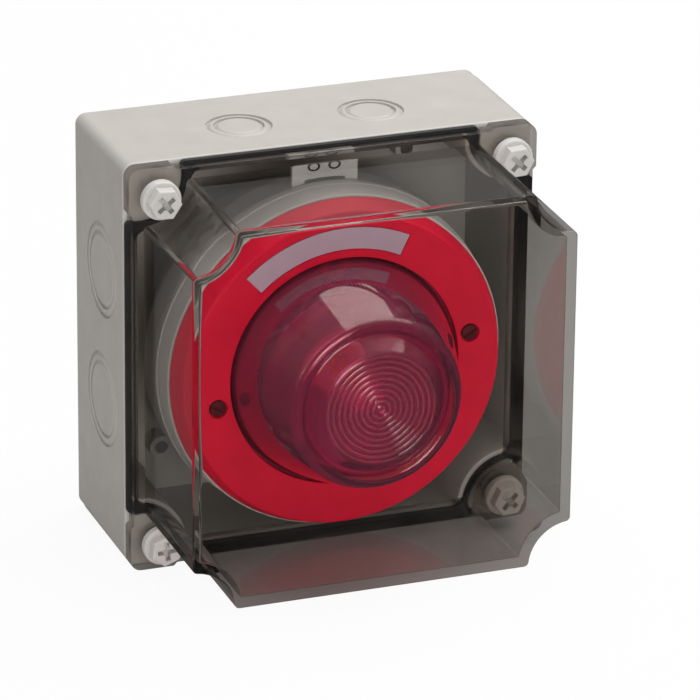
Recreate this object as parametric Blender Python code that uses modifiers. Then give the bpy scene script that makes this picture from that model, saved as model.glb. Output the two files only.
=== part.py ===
"""Wall-mounted warning beacon: a round red beacon twisted onto its mounting base inside a square,
weatherproof plastic case with a deep, smoked, see-through lid.

Metres, +Z up. The wall is the plane Y = 0 and the beacon faces -Y. Everything is modelled in the frame of the
empty wall_frame, whose local X is the world X, whose local Y is up and whose local Z is the distance out
from the wall, so that every turned piece has its axis along its own local Z.
"""
import math

import bmesh
import bpy

# ---------------------------------------------------------------- driving dimensions, metres
CASE_WIDTH = 0.130            # square case, side to side
CASE_DEPTH = 0.099            # wall to the front of the lid
BASE_DEPTH = 0.048            # wall to the parting line
CASE_WALL = 0.003
CASE_FLOOR = 0.003
CASE_CORNER = 0.0035          # radius of the corners that run away from the wall
CASE_REAR_ROUND = 0.0010      # radius of the edges round the back
CASE_BAND_DEPTH = 0.0066      # band round the back that stands a little in from the walls
CASE_BAND_STEP = 0.0002
CASE_EDGE = 0.0008

LID_RIM_DEPTH = 0.0060        # parting line to the front face of the lid's ears
LID_WALL = 0.0025
LID_PANEL = 0.0025
LID_EDGE = 0.0006
LID_EAR_LENGTH = 0.0138
LID_SIDE_STEP = 0.0011        # how far the lid's rim stands back between its ears
HOOD_STEP = 0.0045            # from the side of the case to the hood's wall, at its foot
HOOD_DRAFT = 0.0002           # what the hood loses on each side by its front
SCALLOP_RADIUS = 0.0135       # hollow corner of the hood, over each lid screw

PARTING_GAP = 0.0003          # clearance between pieces that rest on each other
RUNNING_GAP = 0.0004          # clearance between pieces that slide on each other

GASKET_WIDTH = 0.0026
GASKET_THICKNESS = 0.0017

LID_SCREW_INSET = 0.0045      # from the hood's corner to the lid screw's axis, along each side
LID_SCREW_SHANK = 0.0025      # radii from here on
LID_SCREW_COLLAR = 0.0065
LID_SCREW_HEX = 0.0056        # to the corners of the six-sided head
LID_SCREW_HEX_TURN = 18.0     # degrees from the cross to the flats
LID_SCREW_COLLAR_HEIGHT = 0.0030
LID_SCREW_HEIGHT = 0.0082
LID_SCREW_REACH = 0.020       # length of the shank below the ear's front
LID_SCREW_TIP_SPACE = 0.004   # depth of the pillar's hole past the screw
CROSS_LENGTH = 0.0068
CROSS_WIDTH = 0.0013
CROSS_DEPTH = 0.0018
SCREW_SEAL_SECTION = 0.0011

KNOCKOUT_OFFSET = 0.0212      # from the middle of a wall to a knock-out's centre
KNOCKOUT_FRONT_SPACE = 0.0213 # from the parting line to a knock-out's centre
KNOCKOUT_RADIUS = 0.0102      # in the upper and lower walls
KNOCKOUT_INNER_RADIUS = 0.0078
SIDE_KNOCKOUT_RADIUS = 0.0150
SIDE_KNOCKOUT_INNER_RADIUS = 0.0122
SIDE_KNOCKOUT_RISE = 0.0025   # how far the pair in a side wall lies above the middle
KNOCKOUT_GROOVE = 0.0012
KNOCKOUT_GROOVE_DEPTH = 0.0007

FLOOR_BOSS_X = 0.0390
FLOOR_BOSS_Y = 0.0450
FLOOR_BOSS_RADIUS = 0.0037
FLOOR_BOSS_HEIGHT = 0.0070
FLOOR_BOSS_HOLE = 0.0021
WALL_HOLE_X = 0.0525
WALL_HOLE_Y = 0.0300
WALL_HOLE_RADIUS = 0.0023
WALL_HOLE_SKIN = 0.0008       # left at the inside, opened when the case is fixed to a wall

BEACON_DROP = 0.0035          # beacon axis below the middle of the case

SPACER_RADIUS = 0.0400
SPACER_WALL = 0.0025
SPACER_WEB_HEIGHT = 0.0090    # web above the case floor
SPACER_SCREW_X = 0.0200
SPACER_POST_X = 0.0300
SPACER_POST_RADIUS = 0.0036
SPACER_SCREW_SHANK = 0.0014
SPACER_SCREW_HEAD = 0.0036
SPACER_SCREW_HEAD_HEIGHT = 0.0018
SPACER_SCREW_REACH = 0.0090
SPACER_SCREW_SLOT = 0.0009
BASE_SCREW_REACH = 0.0120
CABLE_NOTCH_WIDTH = 0.0150
CABLE_NOTCH_HEIGHT = 0.0110

MOUNT_BACK = 0.0355           # rear of the beacon's mounting base, from the wall
MOUNT_RADIUS = 0.0532
MOUNT_DEPTH = 0.0095
MOUNT_PLATE = 0.0022
MOUNT_RIM = 0.0024
MOUNT_CABLE_HOLE = 0.0110

TAB_COUNT = 3                 # bayonet tabs of the mounting base, and lugs of the head
TAB_FIRST_ANGLE = 30.0        # degrees
TAB_SPAN = 14.0
TAB_THICKNESS = 0.0013
TAB_REACH = 0.0034
TAB_STEPS = 4
LUG_SPAN = 11.0
LUG_THICKNESS = 0.0018

TERMINAL_COUNT = 4
TERMINAL_RADIUS = 0.0360      # of the circle through the terminal screws
TERMINAL_WIDTH = 0.0090
TERMINAL_LENGTH = 0.0160
TERMINAL_HEIGHT = 0.0044
TERMINAL_SCREW_HEAD = 0.0026
TERMINAL_SCREW_SHANK = 0.0012
TERMINAL_SCREW_SLOT = 0.0007
CONTACT_RADIUS = 0.0285
CONTACT_WIDTH = 0.0050
CONTACT_LENGTH = 0.0060
CONTACT_THICKNESS = 0.0006
BLADE_THICKNESS = 0.0008
BLADE_SLOT = 0.0016

CARD_WIDTH = 0.0210
CARD_THICKNESS = 0.0016
CARD_TAB_HEIGHT = 0.0065
CARD_LEG_WIDTH = 0.0040
CARD_TAB_GAP = 0.0007         # between the head's rim and the card's tab
CARD_CORNER = 0.0014

HEAD_RADIUS = 0.0535
HEAD_RIM = 0.0038             # height of the head's straight rim
HEAD_SHOULDER_RADIUS = 0.0526
HEAD_DEPTH = 0.0114
HEAD_WALL = 0.0022
HEAD_SKIRT_RADIUS = 0.0470
HEAD_SKIRT_WALL = 0.0022
HEAD_BORE = 0.0365

FLANGE_RADIUS = 0.0520        # red front flange
FLANGE_DRAFT = 0.0020         # what its radius loses by its front
FLANGE_DEPTH = 0.0063
FLANGE_PLATE = 0.0020
FLANGE_WALL = 0.0020
FLANGE_ROUND = 0.0012
FLANGE_SCREW_RADIUS = 0.0410
FLANGE_SCREW_ANGLE = 10.0     # degrees above the horizontal
FLANGE_SCREW_HEAD = 0.0027
FLANGE_SCREW_SHANK = 0.0014
FLANGE_SCREW_REACH = 0.0115
FLANGE_SCREW_SLOT = 0.0008
FLANGE_SCREW_RECESS = 0.0012
FLANGE_SCREW_HEAD_HEIGHT = 0.0009

BAND_START = 64.0             # degrees, pale band on the flange
BAND_END = 133.0
BAND_END_GAP = 0.5
BAND_INNER = 0.0394
BAND_OUTER = 0.0462
BAND_THICKNESS = 0.0003

LENS_RADIUS = 0.0360          # red dome, at its foot
LENS_BORE_GAP = 0.0006        # round the dome, in the flange
LENS_SPACE = 0.0015           # from the dome's ringed centre to the lid's panel
LENS_CREST_DROP = 0.0034      # crest of the dome behind its ringed centre
LENS_CREST_RADIUS = 0.0250
LENS_CREST_ROUND = 0.0024
LENS_WALL = 0.0020
LENS_LIP_RADIUS = 0.0460
LENS_LIP = 0.0020
VALLEY_DEPTH = 0.0016         # ring hollow between the crest and the foot of the ringed centre
VALLEY_INNER = 0.0218
VALLEY_OUTER = 0.0228
RINGED_RADIUS = 0.0178
RINGED_EDGE = 0.0005
RING_COUNT = 5
RING_HEIGHT = 0.0006
SEAL_MIDDLE_RADIUS = 0.0444
SEAL_WIDTH = 0.0018

COVER_RADIUS = 0.0444         # rear cover of the head
COVER_THICKNESS = 0.0015
BOARD_RADIUS = 0.0424
BOARD_THICKNESS = 0.0016
BOARD_POST_X = 0.0340
BOARD_POST_RADIUS = 0.0030
BOARD_SPACE = 0.0022          # rear cover to driver board
BOARD_SCREW_SHANK = 0.0010
BOARD_SCREW_HEAD = 0.0021
BOARD_SCREW_HEAD_HEIGHT = 0.0012
BOARD_SCREW_REACH = 0.0036
BOARD_SCREW_SLOT = 0.0006
SINK_RADIUS = 0.0240
SINK_FIN_COUNT = 9
SINK_FIN_PITCH = 0.0050
SINK_FIN_HEIGHT = 0.0032
SINK_FIN_THICKNESS = 0.0011
SINK_PLATE = 0.0020
LAMP_BOARD_RADIUS = 0.0150
CHIP_SIZE = 0.0050
CHIP_HEIGHT = 0.0012
CHIP_LENS_RADIUS = 0.0021
REFLECTOR_MOUTH = 0.0270
REFLECTOR_THROAT = 0.0090
REFLECTOR_DEPTH = 0.0120
REFLECTOR_WALL = 0.0012
CAPACITOR_RADIUS = 0.0025
CAPACITOR_LENGTH = 0.0110
INDUCTOR_RADIUS = 0.0050
INDUCTOR_HEIGHT = 0.0040
CONTROLLER_SIZE = 0.0090
CONTROLLER_HEIGHT = 0.0017
BOARD_PART_SPACE = 0.0010     # between the heat sink and the parts round it

ROUND_STEPS = 36              # facets of the large turned pieces
MIDDLE_STEPS = 28             # facets of boards, the heat sink and the bowl
SMALL_STEPS = 16              # facets of lid screws, bosses and grooves
SCREW_STEPS = 12              # facets of the small screws and their holes
KNOCKOUT_STEPS = 20
REFLECTOR_STEPS = 4
REAR_ROUND_STEPS = 4
SMOOTH_ANGLE = 35.0           # degrees, sharper edges stay sharp

# ---------------------------------------------------------------- derived places, distance out from the wall
CASE_HALF = CASE_WIDTH / 2
CAVITY_HALF = CASE_HALF - CASE_WALL
LID_BACK = BASE_DEPTH + PARTING_GAP
LID_SHOULDER = BASE_DEPTH + LID_RIM_DEPTH
HOOD_HALF = CASE_HALF - HOOD_STEP
SCREW_HALF_PITCH = HOOD_HALF - LID_SCREW_INSET
COLLAR_REACH = LID_SCREW_INSET * math.sqrt(2) + LID_SCREW_COLLAR

# the gasket lies on the rim of the base, and passes inside the lid screws
GASKET_HALF = CAVITY_HALF + (CASE_WALL + GASKET_WIDTH) / 2
GASKET_SCALLOP = COLLAR_REACH + RUNNING_GAP
GASKET_INNER_SCALLOP = GASKET_SCALLOP + GASKET_WIDTH
PILLAR_RADIUS = GASKET_INNER_SCALLOP + (CASE_WALL - GASKET_WIDTH) / 2 + LID_EDGE
GASKET_BACK = BASE_DEPTH + PARTING_GAP
GASKET_FRONT = GASKET_BACK + GASKET_THICKNESS

SPACER_BACK = CASE_FLOOR + PARTING_GAP
SPACER_FRONT = MOUNT_BACK - PARTING_GAP
SPACER_WEB_BACK = CASE_FLOOR + SPACER_WEB_HEIGHT + PARTING_GAP
SPACER_WEB_FRONT = SPACER_WEB_BACK + SPACER_WALL

MOUNT_PLATE_FRONT = MOUNT_BACK + MOUNT_PLATE
MOUNT_FRONT = MOUNT_BACK + MOUNT_DEPTH
MOUNT_RIM_INNER = MOUNT_RADIUS - MOUNT_RIM
TAB_BACK = MOUNT_FRONT - TAB_THICKNESS
TAB_INNER = MOUNT_RIM_INNER - TAB_REACH
LUG_FRONT = TAB_BACK - RUNNING_GAP
LUG_BACK = LUG_FRONT - LUG_THICKNESS

HEAD_BACK = MOUNT_FRONT + PARTING_GAP
HEAD_FRONT = HEAD_BACK + HEAD_DEPTH
SKIRT_BACK = LUG_BACK - RUNNING_GAP
SKIRT_INNER = HEAD_SKIRT_RADIUS - HEAD_SKIRT_WALL

TERMINAL_BACK = MOUNT_PLATE_FRONT + PARTING_GAP
TERMINAL_FRONT = TERMINAL_BACK + TERMINAL_HEIGHT
SPRING_BACK = TERMINAL_FRONT + PARTING_GAP
SPRING_FRONT = SPRING_BACK + CONTACT_THICKNESS
BLADE_BACK = SPRING_FRONT + RUNNING_GAP
BLADE_FRONT = BLADE_BACK + CONTACT_THICKNESS
COVER_BACK = BLADE_FRONT + PARTING_GAP
COVER_FRONT = COVER_BACK + COVER_THICKNESS
BOARD_BACK = COVER_FRONT + BOARD_SPACE
BOARD_FRONT = BOARD_BACK + BOARD_THICKNESS

FLANGE_BACK = HEAD_FRONT + PARTING_GAP
FLANGE_FRONT = FLANGE_BACK + FLANGE_DEPTH
FLANGE_BORE = LENS_RADIUS + LENS_BORE_GAP
LIP_FRONT = FLANGE_FRONT - FLANGE_PLATE - PARTING_GAP
LIP_BACK = LIP_FRONT - LENS_LIP
SEAL_BACK = HEAD_FRONT + PARTING_GAP
SEAL_FRONT = LIP_BACK - PARTING_GAP

SINK_BACK = BOARD_FRONT + PARTING_GAP
SINK_FRONT = SINK_BACK + SINK_FIN_HEIGHT + SINK_PLATE
LAMP_BOARD_BACK = SINK_FRONT + PARTING_GAP
LAMP_BOARD_FRONT = LAMP_BOARD_BACK + BOARD_THICKNESS
CHIP_BACK = LAMP_BOARD_FRONT + PARTING_GAP
REFLECTOR_BACK = LAMP_BOARD_FRONT + PARTING_GAP
REFLECTOR_FRONT = REFLECTOR_BACK + REFLECTOR_DEPTH

LENS_FRONT = CASE_DEPTH - LID_PANEL - LENS_SPACE
CREST_FRONT = LENS_FRONT - LENS_CREST_DROP

CARD_BACK = MOUNT_FRONT - CARD_THICKNESS - RUNNING_GAP / 2
CARD_TAB_INNER = HEAD_RADIUS + CARD_TAB_GAP


# ---------------------------------------------------------------- scene, collections and materials
def clear_scene():
    for obj in list(bpy.data.objects):
        bpy.data.objects.remove(obj, do_unlink=True)
    for old in list(bpy.data.collections):
        bpy.data.collections.remove(old)


def new_collection(name):
    made = bpy.data.collections.new(name)
    bpy.context.scene.collection.children.link(made)
    return made


clear_scene()
PARTS = new_collection("warning_beacon")
CUTTERS = new_collection("cutters")


def new_empty(name, parent=None, location=(0, 0, 0), rotation=(0, 0, 0)):
    empty = bpy.data.objects.new(name, None)
    empty.empty_display_size = 0.01
    empty.parent = parent
    empty.location = location
    empty.rotation_euler = rotation
    PARTS.objects.link(empty)
    return empty


def new_material(name, colour, roughness, metallic=0.0, alpha=1.0):
    mat = bpy.data.materials.new(name)
    mat.use_nodes = True
    shader = mat.node_tree.nodes["Principled BSDF"]
    shader.inputs["Base Color"].default_value = (*colour, 1.0)
    shader.inputs["Roughness"].default_value = roughness
    shader.inputs["Metallic"].default_value = metallic
    shader.inputs["Alpha"].default_value = alpha
    mat.diffuse_color = (*colour, alpha)
    return mat


GREY_PLASTIC = new_material("grey_plastic", (0.50, 0.48, 0.45), 0.45)
SMOKED_PLASTIC = new_material("smoked_plastic", (0.20, 0.19, 0.18), 0.08, alpha=0.35)
PALE_PLASTIC = new_material("pale_plastic", (0.66, 0.64, 0.61), 0.4)
SEAL_RUBBER = new_material("seal_rubber", (0.02, 0.02, 0.02), 0.7)
BEACON_GREY = new_material("beacon_grey", (0.46, 0.45, 0.43), 0.45)
RED_PLASTIC = new_material("red_plastic", (0.62, 0.03, 0.06), 0.3)
RED_LENS = new_material("red_lens", (0.35, 0.02, 0.06), 0.05, alpha=0.6)
WHITE_PLASTIC = new_material("white_plastic", (0.80, 0.80, 0.78), 0.45)
BAND_FILM = new_material("band_film", (0.62, 0.50, 0.60), 0.35)
ZINC_STEEL = new_material("zinc_steel", (0.62, 0.62, 0.60), 0.35, metallic=1.0)
DARK_STEEL = new_material("dark_steel", (0.08, 0.06, 0.06), 0.45, metallic=1.0)
BRASS = new_material("brass", (0.72, 0.52, 0.22), 0.3, metallic=1.0)
TERMINAL_PLASTIC = new_material("terminal_plastic", (0.75, 0.74, 0.70), 0.5)
BOARD_GREEN = new_material("board_green", (0.03, 0.14, 0.06), 0.4)
BOARD_WHITE = new_material("board_white", (0.78, 0.78, 0.76), 0.4)
ALUMINIUM = new_material("aluminium", (0.60, 0.61, 0.62), 0.35, metallic=1.0)
MIRROR_FILM = new_material("mirror_film", (0.85, 0.85, 0.86), 0.08, metallic=1.0)
CHIP_YELLOW = new_material("chip_yellow", (0.80, 0.62, 0.10), 0.4)
BLACK_PLASTIC = new_material("black_plastic", (0.02, 0.02, 0.02), 0.4)
COPPER_WINDING = new_material("copper_winding", (0.55, 0.24, 0.10), 0.4, metallic=1.0)


# ---------------------------------------------------------------- modelling helpers
def add_object(name, mesh, parent, mat=None, location=(0, 0, 0), rotation=(0, 0, 0)):
    """Link a mesh under its parent empty; with no material it is a cutter or a piece to be joined."""
    obj = bpy.data.objects.new(name, mesh)
    obj.parent = parent
    obj.location = location
    obj.rotation_euler = rotation
    if mat is None:
        CUTTERS.objects.link(obj)
        obj.hide_render = True
        obj.display_type = "WIRE"
    else:
        PARTS.objects.link(obj)
        mesh.materials.append(mat)
    return obj


def smooth(obj, angle=SMOOTH_ANGLE):
    obj.data.shade_smooth()
    obj.data.set_sharp_from_angle(angle=math.radians(angle))


def bevelled(obj, width, segments=2, angle=50.0):
    mod = obj.modifiers.new("rounded_edges", "BEVEL")
    mod.width = width
    mod.segments = segments
    mod.limit_method = "ANGLE"
    mod.angle_limit = math.radians(angle)
    mod.harden_normals = False
    return obj


def combine(target, other, operation):
    mod = target.modifiers.new(operation.lower(), "BOOLEAN")
    mod.operation = operation
    mod.solver = "EXACT"
    mod.object = other
    return target


def cut(target, *cutters):
    for cutter in cutters:
        combine(target, cutter, "DIFFERENCE")
    return target


def join(target, *others):
    for other in others:
        combine(target, other, "UNION")
    return target


def block_mesh(name, size, centre):
    bm = bmesh.new()
    bmesh.ops.create_cube(bm, size=1.0)
    bmesh.ops.scale(bm, vec=size, verts=bm.verts)
    bmesh.ops.translate(bm, vec=centre, verts=bm.verts)
    mesh = bpy.data.meshes.new(name)
    bm.to_mesh(mesh)
    bm.free()
    return mesh


def block(name, x_range, y_range, z_range, parent, mat=None, **place):
    size = [high - low for low, high in (x_range, y_range, z_range)]
    centre = [(high + low) / 2 for low, high in (x_range, y_range, z_range)]
    return add_object(name, block_mesh(name, size, centre), parent, mat, **place)


def rod(name, radius, z_range, parent, mat=None, steps=SMALL_STEPS, tip_radius=None, **place):
    low, high = z_range
    bm = bmesh.new()
    bmesh.ops.create_cone(bm, cap_ends=True, segments=steps, radius1=radius,
                          radius2=radius if tip_radius is None else tip_radius, depth=high - low)
    bmesh.ops.translate(bm, vec=(0, 0, (low + high) / 2), verts=bm.verts)
    mesh = bpy.data.meshes.new(name)
    bm.to_mesh(mesh)
    bm.free()
    obj = add_object(name, mesh, parent, mat, **place)
    smooth(obj)
    return obj


def turned(name, profile, parent, mat=None, steps=ROUND_STEPS, closed=False, **place):
    """Turn a profile of (radius, height) points about local Z. The outer side runs from top to bottom;
    an open profile starts and ends on the axis, and a closed one is the section of a ring."""
    mesh = bpy.data.meshes.new(name)
    edges = [(i, i + 1) for i in range(len(profile) - 1)]
    if closed:
        edges.append((len(profile) - 1, 0))
    mesh.from_pydata([(radius, 0, height) for radius, height in profile], edges, [])
    obj = add_object(name, mesh, parent, mat, **place)
    screw = obj.modifiers.new("turn", "SCREW")
    screw.axis = "Z"
    screw.steps = steps
    screw.render_steps = steps
    screw.use_merge_vertices = True
    screw.merge_threshold = 0.00001
    screw.use_smooth_shade = True
    return obj


def ring(name, inner, outer, z_range, parent, mat=None, steps=ROUND_STEPS, **place):
    low, high = z_range
    profile = [(outer, high), (outer, low), (inner, low), (inner, high)]
    return turned(name, profile, parent, mat, steps, closed=True, **place)


def arc(centre_x, centre_y, radius, start, end, steps):
    """Points on an arc, angles in degrees, both ends included."""
    angles = [math.radians(start + (end - start) * i / steps) for i in range(steps + 1)]
    return [(centre_x + radius * math.cos(a), centre_y + radius * math.sin(a)) for a in angles]


def four_corners(corner):
    """Repeat the points of the upper right corner round the square, counter-clockwise."""
    points = []
    for turn in range(4):
        c, s = [(1, 0), (0, 1), (-1, 0), (0, -1)][turn]
        points += [(c * x - s * y, s * x + c * y) for x, y in corner]
    return points


def rounded_square(half, radius, steps=4):
    centre = half - radius
    return four_corners(arc(centre, centre, radius, 0, 90, steps))


def scalloped_square(half, scallop_centre, radius, steps=8):
    """Square whose corners are hollowed by circles round (scallop_centre, scallop_centre)."""
    side = half - scallop_centre
    reach = math.sqrt(radius ** 2 - side ** 2)
    start = math.degrees(math.atan2(-reach, side)) % 360
    end = math.degrees(math.atan2(side, -reach)) % 360
    return four_corners(arc(scallop_centre, scallop_centre, radius, start, end, steps))


def lid_rim_outline():
    """Outline of the lid's rim: flush with the base at its four ears and set back between them."""
    ear = CASE_HALF - LID_EAR_LENGTH
    stepped = CASE_HALF - LID_SIDE_STEP
    centre = CASE_HALF - CASE_CORNER
    corner = [(stepped, ear - LID_SIDE_STEP), (CASE_HALF, ear)]
    corner += arc(centre, centre, CASE_CORNER, 0, 90, 4)
    corner += [(ear, CASE_HALF), (ear - LID_SIDE_STEP, stepped)]
    return four_corners(corner)


def slab(name, outlines, z_range, parent, mat=None, taper=0.0, **place):
    """Flat plate from closed outlines (the first is the outside, the others are holes), as a filled 2D curve
    made into a mesh. taper draws the front in by that much on each side."""
    low, high = z_range
    curve = bpy.data.curves.new(name, "CURVE")
    curve.dimensions = "2D"
    curve.fill_mode = "BOTH"
    curve.extrude = (high - low) / 2
    for outline in outlines:
        spline = curve.splines.new("POLY")
        spline.points.add(len(outline) - 1)
        for point, (x, y) in zip(spline.points, outline):
            point.co = (x, y, 0, 1)
        spline.use_cyclic_u = True
    guide = bpy.data.objects.new(name + "_outline", curve)
    CUTTERS.objects.link(guide)
    bpy.context.view_layer.update()
    evaluated = guide.evaluated_get(bpy.context.evaluated_depsgraph_get())
    mesh = bpy.data.meshes.new_from_object(evaluated)
    bpy.data.objects.remove(guide, do_unlink=True)
    bm = bmesh.new()
    bm.from_mesh(mesh)
    bmesh.ops.remove_doubles(bm, verts=bm.verts, dist=0.000001)
    bmesh.ops.recalc_face_normals(bm, faces=bm.faces)
    reach = max(abs(value) for point in outlines[0] for value in point)
    for vert in bm.verts:
        if vert.co.z > 0 and taper:
            vert.co.x *= 1 - taper / reach
            vert.co.y *= 1 - taper / reach
    bmesh.ops.translate(bm, vec=(0, 0, (low + high) / 2), verts=bm.verts)
    bm.to_mesh(mesh)
    bm.free()
    mesh.name = name
    mesh.materials.clear()
    return add_object(name, mesh, parent, mat, **place)


def stacked(name, layers, parent, mat=None):
    """Solid through closed outlines of equal length, given as (height, outline) from back to front."""
    bm = bmesh.new()
    rings = [[bm.verts.new((x, y, height)) for x, y in outline] for height, outline in layers]
    bm.faces.new(list(reversed(rings[0])))
    bm.faces.new(rings[-1])
    for lower, upper in zip(rings, rings[1:]):
        for i in range(len(lower)):
            bm.faces.new((lower[i - 1], lower[i], upper[i], upper[i - 1]))
    bmesh.ops.recalc_face_normals(bm, faces=bm.faces)
    mesh = bpy.data.meshes.new(name)
    bm.to_mesh(mesh)
    bm.free()
    return add_object(name, mesh, parent, mat)


def case_layers():
    """Outlines of the case from its rounded back edge, over the band and its step, to the front edge."""
    quarter = [math.radians(90 * i / REAR_ROUND_STEPS) for i in range(REAR_ROUND_STEPS + 1)]
    insets = [(CASE_REAR_ROUND * (1 - math.sin(a)), CASE_BAND_STEP + CASE_REAR_ROUND * (1 - math.cos(a)))
              for a in reversed(quarter)]
    insets += [(CASE_BAND_DEPTH - CASE_BAND_STEP, CASE_BAND_STEP), (CASE_BAND_DEPTH, 0),
               (BASE_DEPTH - CASE_EDGE, 0), (BASE_DEPTH, CASE_EDGE)]
    return [(height, rounded_square(CASE_HALF - inset, CASE_CORNER - inset)) for height, inset in insets]


def sector(name, inner, outer, start, end, z_range, parent, mat=None, steps=8, **place):
    """Piece of a flat ring between two angles in degrees."""
    outline = arc(0, 0, outer, start, end, steps) + arc(0, 0, inner, end, start, steps)
    return slab(name, [outline], z_range, parent, mat, **place)


def left_and_right(x, height, turn):
    """Places for copies() of two pieces mirrored about the beacon's upright diameter."""
    return {"left": ((-x, 0, height), -turn), "right": ((x, 0, height), turn)}


def polar(radius, degrees, height=0.0):
    angle = math.radians(degrees)
    return (radius * math.cos(angle), radius * math.sin(angle), height)


def copies(name, mesh, places, parent, mat):
    """One object for each place of a repeated piece: {label: ((x, y, z), turn in degrees)}."""
    mesh.shade_smooth()
    mesh.set_sharp_from_angle(angle=math.radians(SMOOTH_ANGLE))
    mesh.materials.clear()
    mesh.materials.append(mat)
    for label, (location, turn) in places.items():
        obj = bpy.data.objects.new("%s_%s" % (name, label), mesh)
        obj.parent = parent
        obj.location = location
        obj.rotation_euler = (0, 0, math.radians(turn))
        PARTS.objects.link(obj)


def evaluated_mesh(obj):
    """Finished copy of an object's mesh, in its own coordinates."""
    bpy.context.view_layer.update()
    evaluated = obj.evaluated_get(bpy.context.evaluated_depsgraph_get())
    return bpy.data.meshes.new_from_object(evaluated)


def pan_screw_mesh(name, head_radius, head_height, shank_radius, reach, slot_width):
    """Pan-head screw with a plain slot, its head's underside at height 0 and its shank running to -reach."""
    profile = [(0, head_height), (head_radius * 0.78, head_height), (head_radius, head_height * 0.6),
               (head_radius, 0), (shank_radius, 0), (shank_radius, -reach), (0, -reach)]
    body = turned(name + "_body", profile, None, steps=SCREW_STEPS)
    slot_half = slot_width / 2
    slot = block(name + "_slot", (-head_radius * 1.2, head_radius * 1.2), (-slot_half, slot_half),
                 (head_height * 0.5, head_height * 1.5), None)
    cut(body, slot)
    mesh = evaluated_mesh(body)
    bpy.data.objects.remove(body, do_unlink=True)
    bpy.data.objects.remove(slot, do_unlink=True)
    return mesh


# ---------------------------------------------------------------- frames
WALL_FRAME = new_empty("wall_frame", rotation=(math.pi / 2, 0, 0))
LID_FRAME = new_empty("lid_frame", WALL_FRAME)
BEACON_AXIS = new_empty("beacon_axis", WALL_FRAME, location=(0, -BEACON_DROP, 0))

CORNERS = {"tl": (-1, 1), "tr": (1, 1), "bl": (-1, -1), "br": (1, -1)}


# ---------------------------------------------------------------- case
def make_base_box():
    """Open-fronted box with corner pillars for the lid screws, floor bosses and scored knock-outs."""
    box = stacked("base_box", case_layers(), WALL_FRAME, GREY_PLASTIC)
    cavity = scalloped_square(CAVITY_HALF, HOOD_HALF, PILLAR_RADIUS)
    cut(box, slab("base_cavity", [cavity], (CASE_FLOOR, BASE_DEPTH * 1.1), WALL_FRAME))
    hole_end = LID_SHOULDER - LID_SCREW_REACH - LID_SCREW_TIP_SPACE
    for corner, (sx, sy) in CORNERS.items():
        hole = rod("pillar_hole_" + corner, LID_SCREW_SHANK + RUNNING_GAP, (hole_end, BASE_DEPTH * 1.1),
                   WALL_FRAME, location=(sx * SCREW_HALF_PITCH, sy * SCREW_HALF_PITCH, 0))
        cut(box, hole)
        boss_place = (sx * FLOOR_BOSS_X, sy * FLOOR_BOSS_Y, 0)
        boss_front = CASE_FLOOR + FLOOR_BOSS_HEIGHT
        join(box, rod("floor_boss_" + corner, FLOOR_BOSS_RADIUS, (CASE_FLOOR / 2, boss_front), WALL_FRAME,
                      location=boss_place))
        cut(box, rod("floor_boss_hole_" + corner, FLOOR_BOSS_HOLE, (CASE_FLOOR, boss_front * 1.1),
                     WALL_FRAME, location=boss_place))
        cut(box, rod("wall_hole_" + corner, WALL_HOLE_RADIUS, (-CASE_FLOOR, CASE_FLOOR - WALL_HOLE_SKIN),
                     WALL_FRAME, location=(sx * WALL_HOLE_X, sy * WALL_HOLE_Y, 0)))
    for side in (-1, 1):
        place = (side * SPACER_SCREW_X, -BEACON_DROP, 0)
        boss_front = CASE_FLOOR + SPACER_WEB_HEIGHT
        join(box, rod("spacer_boss_%d" % side, FLOOR_BOSS_RADIUS, (CASE_FLOOR / 2, boss_front), WALL_FRAME,
                      location=place))
        cut(box, rod("spacer_boss_hole_%d" % side, SPACER_SCREW_SHANK + PARTING_GAP,
                     (CASE_FLOOR, boss_front * 1.1), WALL_FRAME, location=place, steps=SCREW_STEPS))
    for wall, shift, radii in ((0, 0, (KNOCKOUT_RADIUS, KNOCKOUT_INNER_RADIUS)),
                               (1, -SIDE_KNOCKOUT_RISE, (SIDE_KNOCKOUT_RADIUS, SIDE_KNOCKOUT_INNER_RADIUS)),
                               (2, 0, (KNOCKOUT_RADIUS, KNOCKOUT_INNER_RADIUS)),
                               (3, SIDE_KNOCKOUT_RISE, (SIDE_KNOCKOUT_RADIUS, SIDE_KNOCKOUT_INNER_RADIUS))):
        for side in (-1, 1):
            for radius in radii:
                cut(box, knockout_groove(radius, wall, side * KNOCKOUT_OFFSET + shift))
    smooth(box)
    return box


def knockout_groove(radius, wall, place):
    """Ring cutter that scores one circle in a side wall; its own axis stands square to that wall. Its outer
    side is upright and its inner side slopes."""
    bottom, top = CASE_HALF - KNOCKOUT_GROOVE_DEPTH, CASE_HALF + KNOCKOUT_GROOVE_DEPTH
    section = [(radius, top), (radius, bottom), (radius - KNOCKOUT_GROOVE / 3, bottom),
               (radius - KNOCKOUT_GROOVE, CASE_HALF), (radius - KNOCKOUT_GROOVE, top)]
    groove = turned("knockout_groove", section, None, steps=KNOCKOUT_STEPS, closed=True)
    turn = new_guide("knockout_turn", wall)
    groove.parent = turn
    groove.location = (place, 0, BASE_DEPTH - KNOCKOUT_FRONT_SPACE)
    groove.rotation_euler = (-math.pi / 2, 0, 0)
    return groove


def new_guide(name, wall):
    """Empty turned by quarter turns, so that its local +Y faces one of the four side walls."""
    guide = bpy.data.objects.new(name, None)
    CUTTERS.objects.link(guide)
    guide.parent = WALL_FRAME
    guide.rotation_euler = (0, 0, -wall * math.pi / 2)
    return guide


def make_gasket():
    outer = scalloped_square(GASKET_HALF, HOOD_HALF, GASKET_SCALLOP)
    inner = scalloped_square(GASKET_HALF - GASKET_WIDTH, HOOD_HALF, GASKET_INNER_SCALLOP)
    return slab("lid_gasket", [outer, inner], (GASKET_BACK, GASKET_FRONT), WALL_FRAME, SEAL_RUBBER)


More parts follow.
